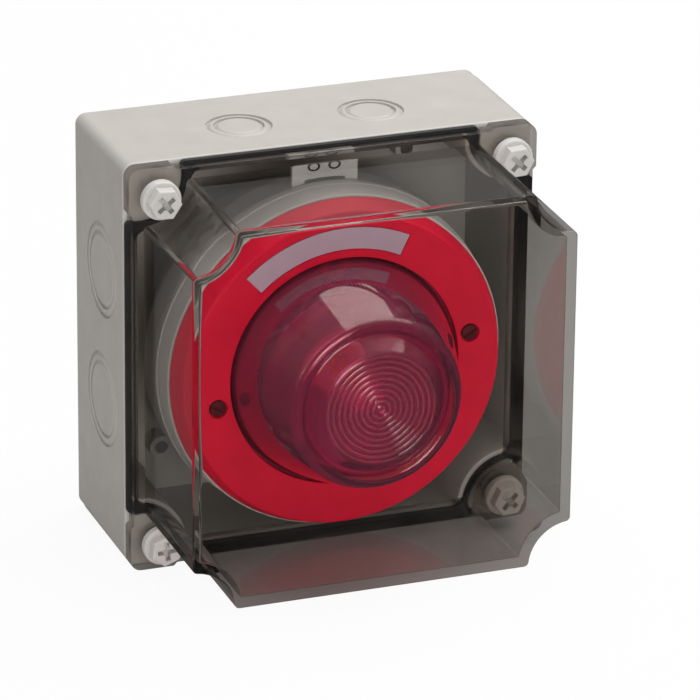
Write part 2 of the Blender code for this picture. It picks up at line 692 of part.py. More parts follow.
def make_lid():
    """Smoked hood with hollow corners on a rim with four ears; the rim has a channel for the gasket."""
    lid = slab("lid", [lid_rim_outline()], (LID_BACK, LID_SHOULDER), LID_FRAME, SMOKED_PLASTIC)
    hood_outline = scalloped_square(HOOD_HALF, HOOD_HALF, SCALLOP_RADIUS)
    hood_back = (LID_BACK + LID_SHOULDER) / 2
    hood = slab("hood_block", [hood_outline], (hood_back, CASE_DEPTH), LID_FRAME, taper=HOOD_DRAFT)
    bevelled(hood, LID_EDGE)
    join(lid, hood)
    hollow_outline = scalloped_square(HOOD_HALF - LID_WALL, HOOD_HALF, SCALLOP_RADIUS + LID_WALL)
    hollow = slab("hood_hollow", [hollow_outline], (BASE_DEPTH / 2, CASE_DEPTH - LID_PANEL), LID_FRAME,
                  taper=HOOD_DRAFT)
    channel_outer = scalloped_square(GASKET_HALF + PARTING_GAP, HOOD_HALF, GASKET_SCALLOP - PARTING_GAP)
    channel_inner = scalloped_square(GASKET_HALF - GASKET_WIDTH - PARTING_GAP, HOOD_HALF,
                                     GASKET_INNER_SCALLOP + PARTING_GAP)
    channel = slab("gasket_channel", [channel_outer, channel_inner],
                   (BASE_DEPTH - PARTING_GAP, GASKET_FRONT + PARTING_GAP), LID_FRAME)
    cut(lid, hollow, channel)
    for corner, (sx, sy) in CORNERS.items():
        cut(lid, rod("ear_hole_" + corner, LID_SCREW_SHANK + RUNNING_GAP * 2, (BASE_DEPTH / 2, CASE_DEPTH),
                     LID_FRAME, location=(sx * SCREW_HALF_PITCH, sy * SCREW_HALF_PITCH, 0)))
    smooth(lid)
    return lid


def make_lid_screw(corner, cross_turn):
    """Captive plastic lid screw: shank, round collar and a six-sided head with a cross recess."""
    sx, sy = CORNERS[corner]
    bottom = LID_SHOULDER + PARTING_GAP + SCREW_SEAL_SECTION
    collar = bottom + LID_SCREW_COLLAR_HEIGHT
    top = LID_SHOULDER + LID_SCREW_HEIGHT
    end = LID_SHOULDER - LID_SCREW_REACH
    chamfer = CASE_EDGE
    profile = [(0, collar), (LID_SCREW_COLLAR - chamfer, collar),
               (LID_SCREW_COLLAR, collar - chamfer), (LID_SCREW_COLLAR, bottom), (LID_SCREW_SHANK, bottom),
               (LID_SCREW_SHANK, end + chamfer), (LID_SCREW_SHANK - chamfer, end), (0, end)]
    place = (sx * SCREW_HALF_PITCH, sy * SCREW_HALF_PITCH, 0)
    screw = turned("lid_screw_" + corner, profile, LID_FRAME, PALE_PLASTIC, steps=SMALL_STEPS, location=place)
    head = rod("screw_head_" + corner, LID_SCREW_HEX, ((bottom + collar) / 2, top), LID_FRAME, steps=6,
               location=place, rotation=(0, 0, math.radians(cross_turn + LID_SCREW_HEX_TURN)))
    join(screw, bevelled(head, CASE_EDGE / 2, segments=1, angle=80))
    for arm in range(2):
        slot = block("cross_%s_%d" % (corner, arm), (-CROSS_LENGTH / 2, CROSS_LENGTH / 2),
                     (-CROSS_WIDTH / 2, CROSS_WIDTH / 2), (top - CROSS_DEPTH, top + CROSS_DEPTH), LID_FRAME,
                     location=place, rotation=(0, 0, math.radians(cross_turn + 90 * arm)))
        cut(screw, slot)
    return screw


def make_screw_seals():
    inner = LID_SCREW_SHANK + RUNNING_GAP
    outer = inner + SCREW_SEAL_SECTION
    low = LID_SHOULDER + PARTING_GAP / 2
    sample = ring("seal_sample", inner, outer, (low, low + SCREW_SEAL_SECTION), None, steps=SCREW_STEPS)
    mesh = evaluated_mesh(sample)
    bpy.data.objects.remove(sample, do_unlink=True)
    places = {}
    for corner, (sx, sy) in CORNERS.items():
        places[corner] = ((sx * SCREW_HALF_PITCH, sy * SCREW_HALF_PITCH, 0), 0)
    copies("screw_seal", mesh, places, LID_FRAME, SEAL_RUBBER)


# ---------------------------------------------------------------- spacer and mounting base
def make_spacer_box():
    """Round spacer that carries the mounting base off the floor, with a web, two posts and a cable notch."""
    inner = SPACER_RADIUS - SPACER_WALL
    profile = [(0, SPACER_WEB_FRONT), (inner, SPACER_WEB_FRONT), (inner, SPACER_FRONT),
               (SPACER_RADIUS, SPACER_FRONT), (SPACER_RADIUS, SPACER_BACK), (inner, SPACER_BACK),
               (inner, SPACER_WEB_BACK), (0, SPACER_WEB_BACK)]
    spacer = turned("spacer_box", profile, BEACON_AXIS, BEACON_GREY)
    post_heights = (SPACER_WEB_BACK + SPACER_WALL / 2, SPACER_FRONT)
    hole_heights = (SPACER_WEB_FRONT, SPACER_FRONT * 1.1)
    for side in (-1, 1):
        place = (side * SPACER_POST_X, 0, 0)
        join(spacer, rod("spacer_post_%d" % side, SPACER_POST_RADIUS, post_heights, BEACON_AXIS,
                         location=place))
        cut(spacer, rod("spacer_post_hole_%d" % side, SPACER_SCREW_SHANK + PARTING_GAP, hole_heights,
                        BEACON_AXIS, steps=SCREW_STEPS, location=place))
        cut(spacer, rod("spacer_web_hole_%d" % side, SPACER_SCREW_SHANK + PARTING_GAP * 2,
                        (SPACER_BACK, SPACER_WEB_FRONT * 1.2), BEACON_AXIS, steps=SCREW_STEPS,
                        location=(side * SPACER_SCREW_X, 0, 0)))
    notch_low = SPACER_WEB_FRONT + SPACER_WALL
    notch = block("cable_notch", (-CABLE_NOTCH_WIDTH / 2, CABLE_NOTCH_WIDTH / 2),
                  (-SPACER_RADIUS * 1.1, -SPACER_RADIUS * 0.7),
                  (notch_low, notch_low + CABLE_NOTCH_HEIGHT), BEACON_AXIS)
    return cut(spacer, notch)


def make_spacer_screws():
    mesh = pan_screw_mesh("spacer_screw", SPACER_SCREW_HEAD, SPACER_SCREW_HEAD_HEIGHT, SPACER_SCREW_SHANK,
                          SPACER_SCREW_REACH, SPACER_SCREW_SLOT)
    height = SPACER_WEB_FRONT + PARTING_GAP
    copies("spacer_screw", mesh, left_and_right(SPACER_SCREW_X, height, 25), BEACON_AXIS, ZINC_STEEL)


def make_mounting_base():
    """Round mounting base: plate, rim with three inward bayonet tabs, cable hole and a notch for the card."""
    profile = [(MOUNT_CABLE_HOLE, MOUNT_PLATE_FRONT), (MOUNT_RIM_INNER, MOUNT_PLATE_FRONT),
               (MOUNT_RIM_INNER, MOUNT_FRONT), (MOUNT_RADIUS, MOUNT_FRONT),
               (MOUNT_RADIUS, MOUNT_BACK + CASE_EDGE), (MOUNT_RADIUS - CASE_EDGE, MOUNT_BACK),
               (MOUNT_CABLE_HOLE, MOUNT_BACK)]
    base = turned("mounting_base", profile, BEACON_AXIS, BEACON_GREY, closed=True)
    for index in range(TAB_COUNT):
        middle = TAB_FIRST_ANGLE + 360 * index / TAB_COUNT
        join(base, sector("bayonet_tab_%d" % index, TAB_INNER, MOUNT_RIM_INNER + MOUNT_RIM / 2,
                          middle - TAB_SPAN / 2, middle + TAB_SPAN / 2, (TAB_BACK, MOUNT_FRONT),
                          BEACON_AXIS, steps=TAB_STEPS))
    for side in (-1, 1):
        cut(base, rod("base_screw_hole_%d" % side, SPACER_SCREW_SHANK + PARTING_GAP * 2,
                      (MOUNT_BACK / 2, MOUNT_FRONT * 1.2), BEACON_AXIS, steps=SCREW_STEPS,
                      location=(side * SPACER_POST_X, 0, 0)))
    notch_half = CARD_WIDTH / 2 + PARTING_GAP
    cut(base, block("card_notch", (-notch_half, notch_half), (MOUNT_RIM_INNER * 0.8, MOUNT_RADIUS * 1.2),
                    (CARD_BACK - PARTING_GAP, MOUNT_FRONT * 1.2), BEACON_AXIS))
    return base


def make_base_screws():
    mesh = pan_screw_mesh("base_screw", SPACER_SCREW_HEAD, SPACER_SCREW_HEAD_HEIGHT, SPACER_SCREW_SHANK,
                          BASE_SCREW_REACH, SPACER_SCREW_SLOT)
    height = MOUNT_PLATE_FRONT + PARTING_GAP
    copies("base_screw", mesh, left_and_right(SPACER_POST_X, height, 40), BEACON_AXIS, ZINC_STEEL)


def terminal_angles():
    return [45 + 360 * index / TERMINAL_COUNT for index in range(TERMINAL_COUNT)]


def terminal_places():
    return {label: ((0, 0, 0), angle) for label, angle in enumerate(terminal_angles(), 1)}


def make_terminal_blocks():
    """Four insulating blocks, each with a threaded hole for its wire screw."""
    outer = TERMINAL_RADIUS + TERMINAL_WIDTH / 2
    body = block("terminal_body", (outer - TERMINAL_LENGTH, outer), (-TERMINAL_WIDTH / 2, TERMINAL_WIDTH / 2),
                 (TERMINAL_BACK, TERMINAL_FRONT), None)
    hole = rod("terminal_hole", TERMINAL_SCREW_SHANK + PARTING_GAP,
               (TERMINAL_BACK + MOUNT_PLATE / 2, HEAD_BACK), None, steps=SCREW_STEPS,
               location=(TERMINAL_RADIUS, 0, 0))
    cut(body, hole)
    mesh = evaluated_mesh(body)
    bpy.data.objects.remove(body, do_unlink=True)
    bpy.data.objects.remove(hole, do_unlink=True)
    copies("terminal_block", mesh, terminal_places(), BEACON_AXIS, TERMINAL_PLASTIC)


def make_terminal_screws():
    mesh = pan_screw_mesh("terminal_screw", TERMINAL_SCREW_HEAD, CONTACT_THICKNESS * 2, TERMINAL_SCREW_SHANK,
                          TERMINAL_HEIGHT / 2, TERMINAL_SCREW_SLOT)
    places = {}
    for label, angle in enumerate(terminal_angles(), 1):
        places[label] = (polar(TERMINAL_RADIUS, angle, TERMINAL_FRONT + PARTING_GAP), angle)
    copies("terminal_screw", mesh, places, BEACON_AXIS, BRASS)


def make_contact_springs():
    """Flat contact on the inner end of each terminal block."""
    mesh = block_mesh("contact_spring", (CONTACT_WIDTH, CONTACT_LENGTH, CONTACT_THICKNESS),
                      (CONTACT_RADIUS, 0, (SPRING_BACK + SPRING_FRONT) / 2))
    copies("contact_spring", mesh, terminal_places(), BEACON_AXIS, BRASS)


def make_address_card():
    """White card clipped in the rim of the mounting base; its tab stands out above the head on two legs."""
    half = CARD_WIDTH / 2
    top = CARD_TAB_INNER + CARD_TAB_HEIGHT
    inner = TAB_INNER + RUNNING_GAP
    outline = [(-half, inner), (half, inner), (half, top - CARD_CORNER)]
    outline += arc(half - CARD_CORNER, top - CARD_CORNER, CARD_CORNER, 0, 90, 3)[1:]
    outline += arc(CARD_CORNER - half, top - CARD_CORNER, CARD_CORNER, 90, 180, 3)
    slot_half = math.degrees(math.asin((half - CARD_LEG_WIDTH) / CARD_TAB_INNER))
    slot = arc(0, 0, CARD_TAB_INNER, 90 - slot_half, 90 + slot_half, 6)
    slot += arc(0, 0, MOUNT_RADIUS - MOUNT_RIM / 2, 90 + slot_half, 90 - slot_half, 6)
    return slab("address_card", [outline, slot], (CARD_BACK, CARD_BACK + CARD_THICKNESS), BEACON_AXIS,
                WHITE_PLASTIC)


# ---------------------------------------------------------------- beacon head
def make_head_housing():
    """Grey ring of the head: rim, sloping shoulder, front web and an inner skirt that carries the lugs."""
    rim_front = HEAD_BACK + HEAD_RIM
    web_back = HEAD_FRONT - HEAD_WALL
    inner_rim = HEAD_RADIUS - HEAD_WALL
    profile = [(HEAD_SHOULDER_RADIUS - CASE_EDGE, HEAD_FRONT), (HEAD_SHOULDER_RADIUS, HEAD_FRONT - CASE_EDGE),
               (HEAD_RADIUS - CASE_EDGE, rim_front), (HEAD_RADIUS, rim_front - CASE_EDGE),
               (HEAD_RADIUS, HEAD_BACK), (inner_rim, HEAD_BACK), (inner_rim, rim_front - CASE_EDGE),
               (HEAD_SHOULDER_RADIUS - HEAD_WALL, web_back), (HEAD_SKIRT_RADIUS, web_back),
               (HEAD_SKIRT_RADIUS, SKIRT_BACK), (SKIRT_INNER, SKIRT_BACK), (SKIRT_INNER, web_back),
               (HEAD_BORE, web_back), (HEAD_BORE, HEAD_FRONT)]
    housing = turned("head_housing", profile, BEACON_AXIS, BEACON_GREY, closed=True)
    for index in range(TAB_COUNT):
        middle = TAB_FIRST_ANGLE + 360 * index / TAB_COUNT
        join(housing, sector("bayonet_lug_%d" % index, HEAD_SKIRT_RADIUS - HEAD_SKIRT_WALL / 2,
                             MOUNT_RIM_INNER - RUNNING_GAP, middle - LUG_SPAN / 2, middle + LUG_SPAN / 2,
                             (LUG_BACK, LUG_FRONT), BEACON_AXIS, steps=TAB_STEPS))
    screw_end = FLANGE_FRONT - FLANGE_SCREW_REACH
    boss_heights = (screw_end - HEAD_WALL / 2, HEAD_FRONT - HEAD_WALL / 2)
    hole_heights = (screw_end - PARTING_GAP, FLANGE_FRONT)
    for side in (-1, 1):
        place = flange_screw_place(side)
        join(housing, rod("flange_boss_%d" % side, FLANGE_SCREW_HEAD, boss_heights, BEACON_AXIS,
                          steps=SMALL_STEPS, location=place))
        cut(housing, rod("flange_boss_hole_%d" % side, FLANGE_SCREW_SHANK + PARTING_GAP, hole_heights,
                         BEACON_AXIS, steps=SCREW_STEPS, location=place))
    return housing


def flange_screw_place(side):
    """The two screws lie on one slanting diameter, the right one higher."""
    x, y, z = polar(FLANGE_SCREW_RADIUS, FLANGE_SCREW_ANGLE)
    return (side * x, side * y, z)


def make_front_flange():
    """Red flange round the dome, a shallow cap with two sunk screw holes and a seat for the pale band."""
    inner_wall = FLANGE_RADIUS - FLANGE_WALL
    plate_back = FLANGE_FRONT - FLANGE_PLATE
    profile = [(FLANGE_BORE, FLANGE_FRONT)]
    profile += arc(FLANGE_RADIUS - FLANGE_DRAFT - FLANGE_ROUND, FLANGE_FRONT - FLANGE_ROUND, FLANGE_ROUND,
                   90, 20, 4)
    profile += [(FLANGE_RADIUS, FLANGE_BACK), (inner_wall, FLANGE_BACK),
                (inner_wall - FLANGE_DRAFT / 2, plate_back), (FLANGE_BORE, plate_back)]
    flange = turned("front_flange", profile, BEACON_AXIS, RED_PLASTIC, closed=True)
    for side in (-1, 1):
        place = flange_screw_place(side)
        cut(flange, rod("flange_hole_%d" % side, FLANGE_SCREW_SHANK + PARTING_GAP, (HEAD_BACK, CASE_DEPTH),
                        BEACON_AXIS, steps=SCREW_STEPS, location=place))
        cut(flange, rod("flange_sink_%d" % side, FLANGE_SCREW_HEAD + PARTING_GAP,
                        (FLANGE_FRONT - FLANGE_SCREW_RECESS, CASE_DEPTH), BEACON_AXIS, steps=SMALL_STEPS,
                        location=place))
    seat_back = FLANGE_FRONT - BAND_THICKNESS - PARTING_GAP
    seat = sector("band_seat", BAND_INNER - PARTING_GAP, BAND_OUTER + PARTING_GAP,
                  BAND_START - BAND_END_GAP, BAND_END + BAND_END_GAP, (seat_back, CASE_DEPTH), BEACON_AXIS,
                  steps=SCREW_STEPS)
    return cut(flange, seat)


def make_band():
    return sector("front_band", BAND_INNER, BAND_OUTER, BAND_START, BAND_END,
                  (FLANGE_FRONT - BAND_THICKNESS, FLANGE_FRONT), BEACON_AXIS, BAND_FILM, steps=SCREW_STEPS)


def make_flange_screws():
    mesh = pan_screw_mesh("flange_screw", FLANGE_SCREW_HEAD, FLANGE_SCREW_HEAD_HEIGHT, FLANGE_SCREW_SHANK,
                          FLANGE_SCREW_REACH - FLANGE_SCREW_HEAD, FLANGE_SCREW_SLOT)
    height = FLANGE_FRONT - FLANGE_SCREW_RECESS + PARTING_GAP
    places = {}
    for label, side in (("left", -1), ("right", 1)):
        x, y, _ = flange_screw_place(side)
        places[label] = ((x, y, height), 30 * side)
    copies("flange_screw", mesh, places, BEACON_AXIS, DARK_STEEL)


def dome_outside():
    """Profile of the dome from the middle of its ringed centre, over the ring hollow, to its side."""
    points = [(0, LENS_FRONT - RING_HEIGHT)]
    pitch = RINGED_RADIUS / RING_COUNT
    for index in range(RING_COUNT):
        points.append((pitch * (index + 0.5), LENS_FRONT))
        points.append((pitch * (index + 1), LENS_FRONT - RING_HEIGHT))
    points.append((RINGED_RADIUS + RINGED_EDGE, LENS_FRONT - RING_HEIGHT - RINGED_EDGE))
    points.append((VALLEY_INNER, CREST_FRONT - VALLEY_DEPTH))
    points.append((VALLEY_OUTER, CREST_FRONT - VALLEY_DEPTH))
    points += arc(LENS_CREST_RADIUS, CREST_FRONT - LENS_CREST_ROUND, LENS_CREST_ROUND, 135, 18, 5)
    return points


def make_dome_lens():
    """Red dome: a tapering side, a rounded crest, a ring hollow, a raised ringed centre and a clamped lip."""
    lip = [(LENS_RADIUS, LIP_FRONT), (LENS_LIP_RADIUS, LIP_FRONT), (LENS_LIP_RADIUS, LIP_BACK),
           (LENS_RADIUS - LENS_WALL, LIP_BACK)]
    valley_back = CREST_FRONT - VALLEY_DEPTH - LENS_WALL
    inside = [(LENS_RADIUS - LENS_WALL, LIP_FRONT),
              (LENS_CREST_RADIUS + LENS_CREST_ROUND - LENS_WALL, valley_back - LENS_WALL / 4),
              (LENS_CREST_RADIUS - LENS_WALL / 4, valley_back),
              (VALLEY_INNER - LENS_WALL, valley_back),
              (RINGED_RADIUS - LENS_WALL, LENS_FRONT - RING_HEIGHT - LENS_WALL),
              (0, LENS_FRONT - RING_HEIGHT - LENS_WALL)]
    lens = turned("dome_lens", dome_outside() + lip + inside, BEACON_AXIS, RED_LENS)
    for side in (-1, 1):
        cut(lens, rod("lip_hole_%d" % side, FLANGE_SCREW_SHANK + PARTING_GAP, (HEAD_BACK, FLANGE_FRONT),
                      BEACON_AXIS, steps=SCREW_STEPS, location=flange_screw_place(side)))
    return lens


def make_lens_seal():
    half = SEAL_WIDTH / 2
    return ring("lens_seal", SEAL_MIDDLE_RADIUS - half, SEAL_MIDDLE_RADIUS + half, (SEAL_BACK, SEAL_FRONT),
                BEACON_AXIS, SEAL_RUBBER)


def make_rear_cover():
    """Cover behind the electronics, with a slot for each contact blade's stem and a middle relief."""
    cover = rod("rear_cover", COVER_RADIUS, (COVER_BACK, COVER_FRONT), BEACON_AXIS, BEACON_GREY,
                steps=MIDDLE_STEPS)
    stem = CONTACT_WIDTH / 2 + PARTING_GAP
    for index, angle in enumerate(terminal_angles()):
        slot = block("blade_slot_%d" % index, (CONTACT_RADIUS - stem, CONTACT_RADIUS + stem),
                     (-BLADE_SLOT / 2, BLADE_SLOT / 2), (MOUNT_FRONT / 2, HEAD_FRONT), BEACON_AXIS,
                     rotation=(0, 0, math.radians(angle)))
        cut(cover, slot)
    post_heights = (COVER_BACK + COVER_THICKNESS / 2, BOARD_BACK - PARTING_GAP)
    for side in (-1, 1):
        place = (side * BOARD_POST_X, 0, 0)
        post = rod("board_post_%d" % side, BOARD_POST_RADIUS, post_heights, BEACON_AXIS, steps=SCREW_STEPS,
                   location=place)
        hole = rod("board_post_hole_%d" % side, BOARD_SCREW_SHANK + PARTING_GAP, (COVER_FRONT, BOARD_FRONT),
                   BEACON_AXIS, steps=SCREW_STEPS, location=place)
        join(cover, post)
        cut(cover, hole)
    return cover


def make_contact_blades():
    """Four contact blades: a flat foot over each spring and a stem up to the driver board."""
    foot = block("blade_foot", (CONTACT_RADIUS - CONTACT_WIDTH / 2, CONTACT_RADIUS + CONTACT_WIDTH / 2),
                 (-CONTACT_LENGTH / 2, CONTACT_LENGTH / 2), (BLADE_BACK, BLADE_FRONT), None)
    stem_heights = ((BLADE_BACK + BLADE_FRONT) / 2, BOARD_BACK - PARTING_GAP)
    stem = block("blade_stem", (CONTACT_RADIUS - CONTACT_WIDTH / 2, CONTACT_RADIUS + CONTACT_WIDTH / 2),
                 (-BLADE_THICKNESS / 2, BLADE_THICKNESS / 2), stem_heights, None)
    join(foot, stem)
    mesh = evaluated_mesh(foot)
    bpy.data.objects.remove(foot, do_unlink=True)
    bpy.data.objects.remove(stem, do_unlink=True)
    copies("contact_blade", mesh, terminal_places(), BEACON_AXIS, BRASS)


def make_driver_board():
    board = rod("driver_board", BOARD_RADIUS, (BOARD_BACK, BOARD_FRONT), BEACON_AXIS, BOARD_GREEN,
                steps=MIDDLE_STEPS)
    for side in (-1, 1):
        cut(board, rod("board_hole_%d" % side, BOARD_SCREW_SHANK + PARTING_GAP * 2, (HEAD_BACK, HEAD_FRONT),
                       BEACON_AXIS, steps=SCREW_STEPS,
                       location=(side * BOARD_POST_X, 0, 0)))
        cut(board, rod("flange_boss_relief_%d" % side, FLANGE_SCREW_HEAD + RUNNING_GAP,
                       (HEAD_BACK, HEAD_FRONT), BEACON_AXIS, steps=SMALL_STEPS,
                       location=flange_screw_place(side)))
    return board


def make_board_screws():
    mesh = pan_screw_mesh("board_screw", BOARD_SCREW_HEAD, BOARD_SCREW_HEAD_HEIGHT, BOARD_SCREW_SHANK,
                          BOARD_SCREW_REACH, BOARD_SCREW_SLOT)
    places = left_and_right(BOARD_POST_X, BOARD_FRONT + PARTING_GAP, 60)
    copies("board_screw", mesh, places, BEACON_AXIS, ZINC_STEEL)


def make_heat_sink():
    """Aluminium plate behind the lamp board, on fins that stand on the driver board."""
    plate_back = SINK_BACK + SINK_FIN_HEIGHT
    sink = rod("heat_sink", SINK_RADIUS, (plate_back, SINK_FRONT), BEACON_AXIS, ALUMINIUM, steps=MIDDLE_STEPS)
    for index in range(SINK_FIN_COUNT):
        x = SINK_FIN_PITCH * (index - (SINK_FIN_COUNT - 1) / 2)
        length = math.sqrt(SINK_RADIUS ** 2 - x ** 2) - SINK_PLATE
        join(sink, block("fin_%d" % index, (x - SINK_FIN_THICKNESS / 2, x + SINK_FIN_THICKNESS / 2),
                         (-length, length), (SINK_BACK, plate_back + SINK_PLATE / 2), BEACON_AXIS))
    return sink


def make_lamp():
    """Lamp board, its emitter with a round lens, and the mirror bowl round it."""
    lamp_board = rod("lamp_board", LAMP_BOARD_RADIUS, (LAMP_BOARD_BACK, LAMP_BOARD_FRONT), BEACON_AXIS,
                     BOARD_WHITE, steps=MIDDLE_STEPS)
    bevelled(lamp_board, PARTING_GAP / 2, segments=1)
    half = CHIP_SIZE / 2
    chip_front = CHIP_BACK + CHIP_HEIGHT
    chip_middle = CHIP_BACK + CHIP_HEIGHT / 2
    emitter = block("lamp_emitter", (-half, half), (-half, half), (CHIP_BACK, chip_front), BEACON_AXIS,
                    CHIP_YELLOW)
    dome = [(0, chip_front + CHIP_LENS_RADIUS)] + arc(0, chip_front, CHIP_LENS_RADIUS, 70, 0, 4)
    dome += [(CHIP_LENS_RADIUS, chip_middle), (0, chip_middle)]
    join(emitter, turned("emitter_dome", dome, BEACON_AXIS, steps=SMALL_STEPS))
    turned("reflector_bowl", bowl_section(), BEACON_AXIS, MIRROR_FILM, steps=MIDDLE_STEPS, closed=True)


def bowl_section():
    """Section of the mirror bowl: its back from mouth to throat, then its curved inside."""
    inside = []
    for index in range(REFLECTOR_STEPS + 1):
        share = index / REFLECTOR_STEPS
        inside.append((REFLECTOR_THROAT + (REFLECTOR_MOUTH - REFLECTOR_THROAT) * share,
                       REFLECTOR_BACK + REFLECTOR_WALL + (REFLECTOR_DEPTH - REFLECTOR_WALL) * share ** 2))
    return [(radius, height - REFLECTOR_WALL) for radius, height in reversed(inside)] + inside


def make_board_parts():
    """What stands on the driver board round the heat sink."""
    low = BOARD_FRONT + PARTING_GAP
    capacitor_radius = SINK_RADIUS + CAPACITOR_RADIUS + BOARD_PART_SPACE
    rod("capacitor", CAPACITOR_RADIUS, (-CAPACITOR_LENGTH / 2, CAPACITOR_LENGTH / 2), BEACON_AXIS,
        BLACK_PLASTIC, location=polar(capacitor_radius, 270, low + CAPACITOR_RADIUS),
        rotation=(0, math.pi / 2, 0))
    inductor_radius = SINK_RADIUS + INDUCTOR_RADIUS + BOARD_PART_SPACE
    inductor = ring("inductor", INDUCTOR_RADIUS * 0.45, INDUCTOR_RADIUS, (low, low + INDUCTOR_HEIGHT),
                    BEACON_AXIS, COPPER_WINDING, steps=SMALL_STEPS,
                    location=polar(inductor_radius, 90))
    bevelled(inductor, INDUCTOR_HEIGHT / 6, segments=1, angle=60)
    x, y, _ = polar(SINK_RADIUS + CONTROLLER_SIZE, 225)
    half = CONTROLLER_SIZE / 2
    block("controller", (x - half, x + half), (y - half, y + half), (low, low + CONTROLLER_HEIGHT),
          BEACON_AXIS, BLACK_PLASTIC)


# ---------------------------------------------------------------- assembly
make_base_box()
make_gasket()
make_lid()
for screw_corner, screw_turn in (("tl", 38), ("tr", 45), ("bl", 4), ("br", 48)):
    make_lid_screw(screw_corner, screw_turn)
make_screw_seals()
make_spacer_box()
make_spacer_screws()
make_mounting_base()
make_base_screws()
make_terminal_blocks()
make_terminal_screws()
make_contact_springs()
make_address_card()
make_head_housing()
make_front_flange()
make_band()
make_flange_screws()
make_dome_lens()
make_lens_seal()
make_rear_cover()
make_contact_blades()
make_driver_board()
make_board_screws()
make_heat_sink()
make_lamp()
make_board_parts()
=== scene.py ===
"""Looks for the enclosed warning beacon: smoked see-through hood, grey case, red beacon, studio and camera.

Shapes are written in millimetres in the wall frame of the part: x to the right, y up, z out from the wall.
"""

import math

import bmesh
import bpy
from mathutils import Matrix, Vector


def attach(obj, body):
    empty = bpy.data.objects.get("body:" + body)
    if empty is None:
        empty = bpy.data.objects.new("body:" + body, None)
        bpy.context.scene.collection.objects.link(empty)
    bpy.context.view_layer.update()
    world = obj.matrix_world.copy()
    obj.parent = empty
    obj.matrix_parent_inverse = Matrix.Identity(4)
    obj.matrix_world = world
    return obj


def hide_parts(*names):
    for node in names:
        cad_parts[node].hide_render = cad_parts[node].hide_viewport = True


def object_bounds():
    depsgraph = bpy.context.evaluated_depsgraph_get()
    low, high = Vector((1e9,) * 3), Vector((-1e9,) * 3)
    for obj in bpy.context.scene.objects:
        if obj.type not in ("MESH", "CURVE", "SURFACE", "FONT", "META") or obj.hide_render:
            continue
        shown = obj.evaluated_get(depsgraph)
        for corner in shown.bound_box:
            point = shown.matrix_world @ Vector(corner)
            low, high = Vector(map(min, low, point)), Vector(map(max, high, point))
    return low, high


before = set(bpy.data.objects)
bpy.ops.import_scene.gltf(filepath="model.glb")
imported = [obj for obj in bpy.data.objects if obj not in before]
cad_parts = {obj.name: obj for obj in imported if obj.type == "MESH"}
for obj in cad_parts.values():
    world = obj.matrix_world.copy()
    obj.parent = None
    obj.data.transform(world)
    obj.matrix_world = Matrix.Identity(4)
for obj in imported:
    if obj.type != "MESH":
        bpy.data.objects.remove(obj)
CAD_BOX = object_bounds()
scene = bpy.context.scene

MM = 0.001
WALL_TO_WORLD = Matrix.Rotation(math.pi / 2, 4, "X")
DROP = 3.5                     # beacon axis below the middle of the case
CORNERS = {"tl": (-1, 1), "tr": (1, 1), "bl": (-1, -1), "br": (1, -1)}
SCREW_AT = 56.0
CROSS_TURN = {"tl": 38.0, "tr": 45.0, "bl": 4.0, "br": 48.0}     # degrees, as the screws were left

CASE_HALF = 65.0
CASE_CORNER = 3.5
CASE_WALL = 3.0
CASE_RIM = 48.0                # front of the case's rim
KNOCKOUT_DEPTH = 26.7          # middle of the knock-outs, out from the wall
KNOCKOUT_PITCH = 21.2
KNOCKOUTS = ((0, 0.0, (10.2, 7.8)), (1, -2.5, (15.0, 12.2)), (2, 0.0, (10.2, 7.8)), (3, 2.5, (15.0, 12.2)))
WALL_HOLE_AT = (52.5, 30.0)
SPACER_BOSS_AT = 20.0
HOLLOW_AT = 60.5               # middle of the hollow corners of hood, seal and case
HOOD_HALF = 60.5
HOOD_HOLLOW = 13.5             # radius of the hood's hollow corners
HOOD_WALL = 2.5
HOOD_TIP = 1.6
HOOD_DRAFT = 0.2
LID_BACK = 48.3
LID_FRONT = 54.0               # front of the lid's rim
FRONT = 99.0
MOULD_RINGS_AT = ((-3.0, 76.0), (20.5, 75.0))
SEAL_FRONT = 50.0
MOUNT_PARTING = 45.0           # where the head's rim meets the mounting base
LUG_TURN = 30                  # degrees, the first of three bayonet lugs
FLANGE_FRONT = 63.3
FLANGE_BACK = 57.0
FLANGE_SCREW_AT = 41.0
FLANGE_SCREW_TURN = 10         # degrees above and below the horizontal
BAND_TURNS = (64.0, 133.0)     # degrees, the ends of the bare band
DOME_FRONT = 94.66             # middle height of the ridges of the ringed centre
RING_PITCH = 1.78
RINGED_RADIUS = 17.8
RIBS = 180


# ---------------------------------------------------------------- outlines
def arc(cx, cy, radius, start, end, steps):
    angles = [math.radians(start + (end - start) * i / steps) for i in range(steps + 1)]
    return [(cx + radius * math.cos(a), cy + radius * math.sin(a)) for a in angles]


def four_corners(corner):
    points = []
    for c, s in ((1, 0), (0, 1), (-1, 0), (0, -1)):
        points += [(c * x - s * y, s * x + c * y) for x, y in corner]
    return points


def rounded_square(half, radius):
    return four_corners(arc(half - radius, half - radius, radius, 0, 90, 8))


def hollow_cornered(half, radius, tip):
    """Square with corners hollowed by circles round HOLLOW_AT and the tips between rounded off."""
    centre = HOLLOW_AT
    across = half - tip - centre
    foot = centre - math.sqrt((radius + tip) ** 2 - across ** 2)
    turn = math.degrees(math.atan2(centre - foot, -across))
    corner = arc(half - tip, foot, tip, 0, turn, 6)
    corner += arc(centre, centre, radius, 180 + turn, 270 - turn, 28)[1:-1]
    corner += arc(foot, half - tip, tip, 90 - turn, 90, 6)
    return four_corners(corner)


def ring_sector(inner, outer, start, end, steps=48):
    return arc(0, 0, outer, start, end, steps) + arc(0, 0, inner, end, start, steps)


# ---------------------------------------------------------------- meshes
def to_mesh(bm, name="work"):
    bmesh.ops.recalc_face_normals(bm, faces=bm.faces)
    mesh = bpy.data.meshes.new(name)
    bm.to_mesh(mesh)
    bm.free()
    return mesh


